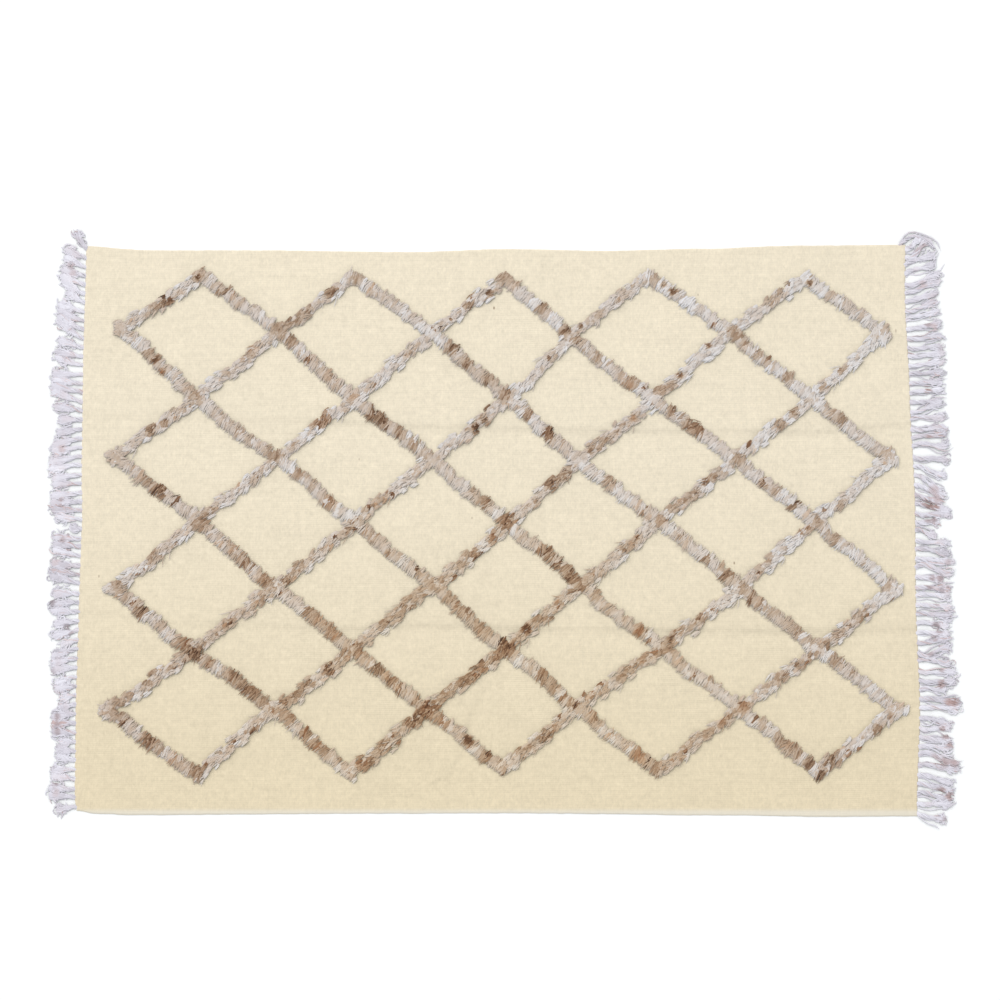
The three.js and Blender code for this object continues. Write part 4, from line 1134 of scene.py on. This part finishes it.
def stray_yarns(rng, path, pale, count, flatness):
    """Single yarns that wander loosely beside a cord."""
    bend, length = path
    at = np.linspace(0, 1, 10)[None] * rng.uniform(0.7, 1.04, (count, 1))
    place, heading, side = bend(at)
    phase = rng.uniform(0, TURN, (2, count, 1))
    wave = np.sin(at * length / rng.uniform(5, 11, (count, 1)) + phase[0])
    off = at * rng.normal(0, 9, (count, 1)) + rng.normal(0, 3.5, (count, 1))
    off = off + rng.uniform(1, 3.2, (count, 1)) * wave
    along = 2.0 * at * np.sin(at * length / rng.uniform(3, 6, (count, 1)) + phase[1])
    flat = place + side * off[..., None] + heading * along[..., None]
    halves = rng.uniform(1.1, 1.9, (count, 1)) * np.ones(at.shape)
    z = np.maximum(rng.uniform(1.0, 5.0, (count, 1)) * np.clip(0.3 + at * 2, 0, 1), halves * flatness + 0.1)
    spines = np.concatenate([flat, z[..., None]], axis=2)
    across = np.concatenate([-side, np.zeros((*side.shape[:2], 1))], axis=2)
    yarn = fringe_yarn(rng, spines, pale)
    return tubes(spines, halves, YARN_SIDES, across, flatness, yarn, rng.uniform(0, FIBRE_SHIFT, count))


def length_setting(name, description, default):
    """A length in metres."""
    return bpy.props.FloatProperty(
        name=name, description=description, default=default, unit="LENGTH", precision=5, min=0.0,
    )


def number_setting(name, description, default, **limits):
    """A plain number, such as a share, an angle or a strength."""
    return bpy.props.FloatProperty(name=name, description=description, default=default, **limits)


def count_setting(name, description, default, least=1):
    """A whole number."""
    return bpy.props.IntProperty(name=name, description=description, default=default, min=least)


def colour_setting(name, description, *default):
    """A colour whose default is given from 0 to 255."""
    return bpy.props.FloatVectorProperty(
        name=name, description=description, subtype="COLOR", size=3, min=0, max=1, default=linear(*default),
    )


class RugClothSettings(bpy.types.PropertyGroup):
    """The woven ground's sizes and colours."""

    length: length_setting("Length", "Length of the cloth without its fringes", 1.9)
    width: length_setting("Width", "Width of the cloth", 1.3)
    thickness: length_setting("Thickness", "Thickness of the cloth", 0.004)
    rim_radius: length_setting("Rim radius", "How round the cloth's edges are", 0.0032)
    crease_depth: length_setting("Crease depth", "Depth of the two long creases", 0.0017)
    cockle: length_setting("Cockle", "Height of the cloth's slight waves", 0.00030)
    mesh_size: length_setting("Mesh size", "Size of the cloth's mesh faces", 0.0078)
    rib_pitch: length_setting("Rib pitch", "Distance between two ribs of the weave", 0.00435)
    pick_pitch: length_setting("Pick pitch", "Distance between two rows of weft", 0.0019)
    weave_depth: length_setting("Weave depth", "Depth of the weave's relief", 0.00022)
    cream: colour_setting("Cream", "Colour of the wool at the far edge", 226, 214, 191)
    # The colour towards the near edge, darker and warmer than the cream at the far edge
    warm_cream: colour_setting("Warm cream", "Colour of the wool at the near edge", 219, 204, 174)
    slub_colour: colour_setting("Slub", "Colour of the thick yellow slubs", 226, 205, 160)
    # The colour of the paler band along the near edge
    pale_band_colour: colour_setting("Selvedge", "Colour of the near edge's selvedge", 226, 222, 212)
    fleck_colour: colour_setting("Fleck", "Colour of the few dark flecks", 120, 92, 66)


class RugPileSettings(bpy.types.PropertyGroup):
    """The pile bands' sizes."""

    band_width: length_setting("Band width", "Width of a falling band of pile", 0.0290)
    rising_tuft: number_setting("Rising tuft", "Width of the tufts in rising bands as a share", 0.65)
    rising_reach: number_setting("Rising reach", "Length of the locks in rising bands as a share", 0.76)
    rising_share: number_setting(
        "Rising share", "Width of a rising band as a share of a falling one's", 1.18,
    )
    height: length_setting("Height", "Height of the pile above the cloth", 0.009)
    lock_short: length_setting("Shortest lock", "Length of the shortest lock", 0.024)
    lock_long: length_setting("Longest lock", "Length of the longest lock", 0.037)
    lock_thin: length_setting("Thinnest lock", "Width of the thinnest lock", 0.0026)
    lock_thick: length_setting("Thickest lock", "Width of the thickest lock", 0.0040)
    tuft_width: length_setting("Tuft width", "Width of one knot's tuft", 0.0085)
    lock_flatness: number_setting(
        "Lock flatness", "Height of a lock as a share of its width", 0.26, min=0.1,
    )
    ragged: length_setting("Raggedness", "How far tufts stray from the band's edges", 0.0024)
    tufts_per_metre: count_setting("Tufts per metre", "Number of knots on a metre of band", 190)
    locks_in_tuft: count_setting("Locks in a tuft", "Number of locks in one knot's tuft", 8)
    tip_tufts: count_setting(
        "Tip tufts", "Number of further knots where a band turns at a short edge", 11, least=0,
    )
    comb_falling: number_setting("Comb of falling bands", "Way that the locks lie, in degrees", 233.0)
    comb_rising: number_setting("Comb of rising bands", "Way that the locks lie, in degrees", 225.0)
    seed: count_setting("Seed", "Seed of the locks' places", 11, least=0)


class RugFringeSettings(bpy.types.PropertyGroup):
    """The fringes' sizes."""

    cord_width: length_setting("Cord width", "Width of a twisted cord", 0.0118)
    end_width_left: length_setting("Left end width", "Width of an opened end at the left", 0.029)
    end_width_right: length_setting("Right end width", "Width of an opened end at the right", 0.021)
    lay: length_setting("Lay", "Length of one turn of a cord's twist", 0.045)
    gather: length_setting("Gather", "Distance between the ends of cords that draw together", 0.0130)
    root_inset: length_setting("Root inset", "Distance of the first cord from the corner", 0.008)
    open_left: number_setting("Left opening", "Share of a left cord's length where it opens", 0.26)
    open_right: number_setting("Right opening", "Share of a right cord's length where it opens", 0.5)
    curl_left: number_setting("Left curl", "How far the left curls turn from their cord, in radians", 0.8)
    curl_right: number_setting(
        "Right curl", "How far the right curls turn from their cord, in radians", 0.6,
    )
    bow_left: number_setting(
        "Left bow", "How far the left cords bend aside, as a share of their length", 0.04,
    )
    bow_right: number_setting(
        "Right bow", "How far the right cords bend aside, as a share of their length", 0.14,
    )
    flatness: number_setting("Yarn flatness", "Height of a yarn as a share of its width", 0.42, min=0.1)
    cord_yarns: count_setting("Cord yarns", "Number of yarns that run all along a cord", 11)
    curls_left: count_setting("Left curls", "Number of short curls at a left cord's end", 26)
    curls_right: count_setting("Right curls", "Number of short curls at a right cord's end", 13)
    strays_left: count_setting("Left strays", "Number of single yarns beside a left cord", 0, least=0)
    strays_right: count_setting("Right strays", "Number of single yarns beside a right cord", 5, least=0)
    seed: count_setting("Seed", "Seed of the cords' bends", 23, least=0)


class RugStageSettings(bpy.types.PropertyGroup):
    """The floor, the lights and the camera."""

    distance: length_setting("Camera distance", "Distance of the camera from its target", 5.0)
    tilt: number_setting("Camera tilt", "Tilt of the camera from straight down, in degrees", 6.419)
    lens: number_setting("Lens", "Focal length of the camera in millimetres", 78.9)
    key_strength: number_setting("Key light", "Strength of the broad light from the far left", 1.24)
    fill_power: number_setting("Fill light", "Power of the soft light over the far left corner", 50.0)
    sky: number_setting("Room light", "Strength of the even light of the room", 0.72)
    floor_colour: colour_setting("Floor", "Colour of the floor", 249, 249, 249)


# The studio in metres: the floor's half size and its drop below the rug, where the lights stand and how
# large the soft one is, and where the camera looks and how far it sees
FLOOR_HALF = 14.0
FLOOR_DROP = 0.0002
SUN_PLACE = (-2.2, 2.9, 4.4)
FILL_PLACE = (-0.9, 1.8, 5.0)
FILL_SIZE = 3.0
CAMERA_TARGET = (0.0108, 0.0605, 0)
CAMERA_REACH = 100.0
# The sun's width in degrees, the camera's sensor in mm, and the colours of the room and the lights
SUN_ANGLE = 64
SENSOR_WIDTH = 36.0
ROOM_COLOUR = (0.93, 0.965, 1.0, 1)
LIGHT_COLOUR = (1.0, 0.985, 0.96)


class RUG_OT_set_stage(bpy.types.Operator):
    """Set the floor, the studio lights and the camera."""

    bl_idname = "rug.set_stage"
    bl_label = "Set the stage"

    def execute(self, context):
        stage = context.scene.rug_stage
        mesh = bpy.data.meshes.new("floor")
        half = FLOOR_HALF
        corners = [(-half, -half, 0), (half, -half, 0), (half, half, 0), (-half, half, 0)]
        mesh.from_pydata(corners, [], [(0, 1, 2, 3)])
        floor = bpy.data.objects.new("floor", mesh)
        floor.location.z = -FLOOR_DROP
        context.scene.collection.objects.link(floor)
        paint = Paint("studio_floor")
        mesh.materials.append(paint.wool({
            "Base Color": [*stage.floor_colour, 1], "Roughness": 0.9, "Sheen Weight": 0.0,
        }))

        world = bpy.data.worlds.new("studio")
        world.use_nodes = True
        background = world.node_tree.nodes["Background"]
        background.inputs["Color"].default_value = ROOM_COLOUR
        background.inputs["Strength"].default_value = stage.sky
        context.scene.world = world
        self.add_light(context, "key_light", "SUN", SUN_PLACE, stage.key_strength)
        self.add_light(context, "fill_light", "AREA", FILL_PLACE, stage.fill_power)

        tilt = math.radians(stage.tilt)
        camera = bpy.data.objects.new("camera", bpy.data.cameras.new("camera"))
        camera.data.lens = stage.lens
        camera.data.sensor_width = SENSOR_WIDTH
        camera.data.clip_end = CAMERA_REACH
        back = Vector((0, -math.sin(tilt), math.cos(tilt)))
        camera.location = Vector(CAMERA_TARGET) + back * stage.distance
        camera.rotation_euler = (tilt, 0, 0)
        context.scene.collection.objects.link(camera)
        context.scene.camera = camera
        context.scene.view_settings.view_transform = "Standard"
        return {"FINISHED"}

    def add_light(self, context, name, kind, place, strength):
        light = bpy.data.lights.new(name, kind)
        if kind == "SUN":
            light.angle = math.radians(SUN_ANGLE)
        else:
            light.shape = "SQUARE"
            light.size = FILL_SIZE
        light.energy = strength
        light.color = LIGHT_COLOUR
        lamp = bpy.data.objects.new(name, light)
        lamp.location = place
        lamp.rotation_euler = (-Vector(place)).to_track_quat("-Z", "Y").to_euler()
        context.scene.collection.objects.link(lamp)


class RUG_OT_knot_pile(bpy.types.Operator):
    """Knot the pile bands of the trellis, in four pieces."""

    bl_idname = "rug.knot_pile"
    bl_label = "Knot the pile"

    def execute(self, context):
        pile, cloth = context.scene.rug_pile, context.scene.rug_cloth
        rng = np.random.default_rng(pile.seed)
        groups = {name: [] for name in ("falling_far", "falling_near", "rising_far", "rising_near")}
        for number, (way, first_row, corners) in enumerate(trellis_runs()):
            kind = "falling" if way == 1 else "rising"
            locks, root_y = pile_locks(pile, cloth, rng, number, way, corners)
            places = np.concatenate([[0], np.cumsum(np.linalg.norm(np.diff(corners, axis=0), axis=1))])
            middle = min(max(MIDDLE_ROW - first_row, 0), len(places) - 1)
            middle_y = CROSSINGS[MIDDLE_ROW][0]
            for half, keep, start, stop in (
                ("far", root_y > middle_y, 0, places[middle]),
                ("near", root_y <= middle_y, places[middle], places[-1]),
            ):
                if keep.any():
                    groups[f"{kind}_{half}"].append(cut(locks, keep, LOCK_POINTS))
                if stop > start:
                    groups[f"{kind}_{half}"].append(pile_bed(pile, cloth, rng, number, corners, start, stop))
        material = yarn_paint("loose_grey_brown_wool", PILE_TONES, PILE_RUSTS, (1.6, 0.12, 1), PILE_TINTS)
        for name, parts in groups.items():
            make_piece(f"pile_{name}", parts, material, "pile_wool", "pile")
        return {"FINISHED"}


class RUG_OT_twist_fringes(bpy.types.Operator):
    """Twist the cords of both fringes."""

    bl_idname = "rug.twist_fringes"
    bl_label = "Twist the fringes"

    def execute(self, context):
        fringe, cloth = context.scene.rug_fringe, context.scene.rug_cloth
        rng = np.random.default_rng(fringe.seed)
        material = yarn_paint("twisted_warp_yarn", FRINGE_TONES, FRINGE_RUSTS, (1.1, 0.25, 1))
        for side, tufts, way in (("left", LEFT_TUFTS, -1), ("right", RIGHT_TUFTS, 1)):
            parts = fringe_cords(fringe, cloth, rng, tufts, way)
            if way == 1:
                parts += corner_loop(fringe, rng)
            make_piece(f"cords_{side}", parts, material, "fringe_yarn", f"fringe_{side}")
        return {"FINISHED"}


class RUG_OT_weave_ground(bpy.types.Operator):
    bl_idname = "rug.weave_ground"
    bl_label = "Weave the ground"

    def execute(self, context):
        cloth = context.scene.rug_cloth
        piece = make_piece(
            "woven_ground", [ground_part(cloth)], cloth_paint(cloth), "ground_wool", "ground",
        )
        return {"FINISHED"}


class RUG_PT_panel(bpy.types.Panel):
    """Lists the rug's steps and sizes."""

    bl_idname = "RUG_PT_panel"
    bl_label = "Kilim rug"
    bl_space_type = "VIEW_3D"
    bl_region_type = "UI"
    bl_category = "Rug"

    def draw(self, context):
        for step in STEPS:
            self.layout.operator(step.bl_idname)
        for group in SETTINGS:
            box = self.layout.box()
            settings = getattr(context.scene, group)
            for name in settings.__annotations__:
                box.prop(settings, name)


SETTINGS = {
    "rug_cloth": RugClothSettings,
    "rug_pile": RugPileSettings,
    "rug_fringe": RugFringeSettings,
    "rug_stage": RugStageSettings,
}
STEPS = [RUG_OT_set_stage, RUG_OT_knot_pile, RUG_OT_twist_fringes, RUG_OT_weave_ground]


def register():
    for group, settings in SETTINGS.items():
        bpy.utils.register_class(settings)
        setattr(bpy.types.Scene, group, bpy.props.PointerProperty(type=settings))
    for step in [*STEPS, RUG_PT_panel]:
        bpy.utils.register_class(step)


def unregister():
    for step in [RUG_PT_panel, *reversed(STEPS)]:
        bpy.utils.unregister_class(step)
    for group, settings in SETTINGS.items():
        delattr(bpy.types.Scene, group)
        bpy.utils.unregister_class(settings)


def main():
    register()
    bpy.ops.rug.set_stage()
    bpy.ops.rug.knot_pile()
    bpy.ops.rug.twist_fringes()
    bpy.ops.rug.weave_ground()


if __name__ == "__main__":
    main()
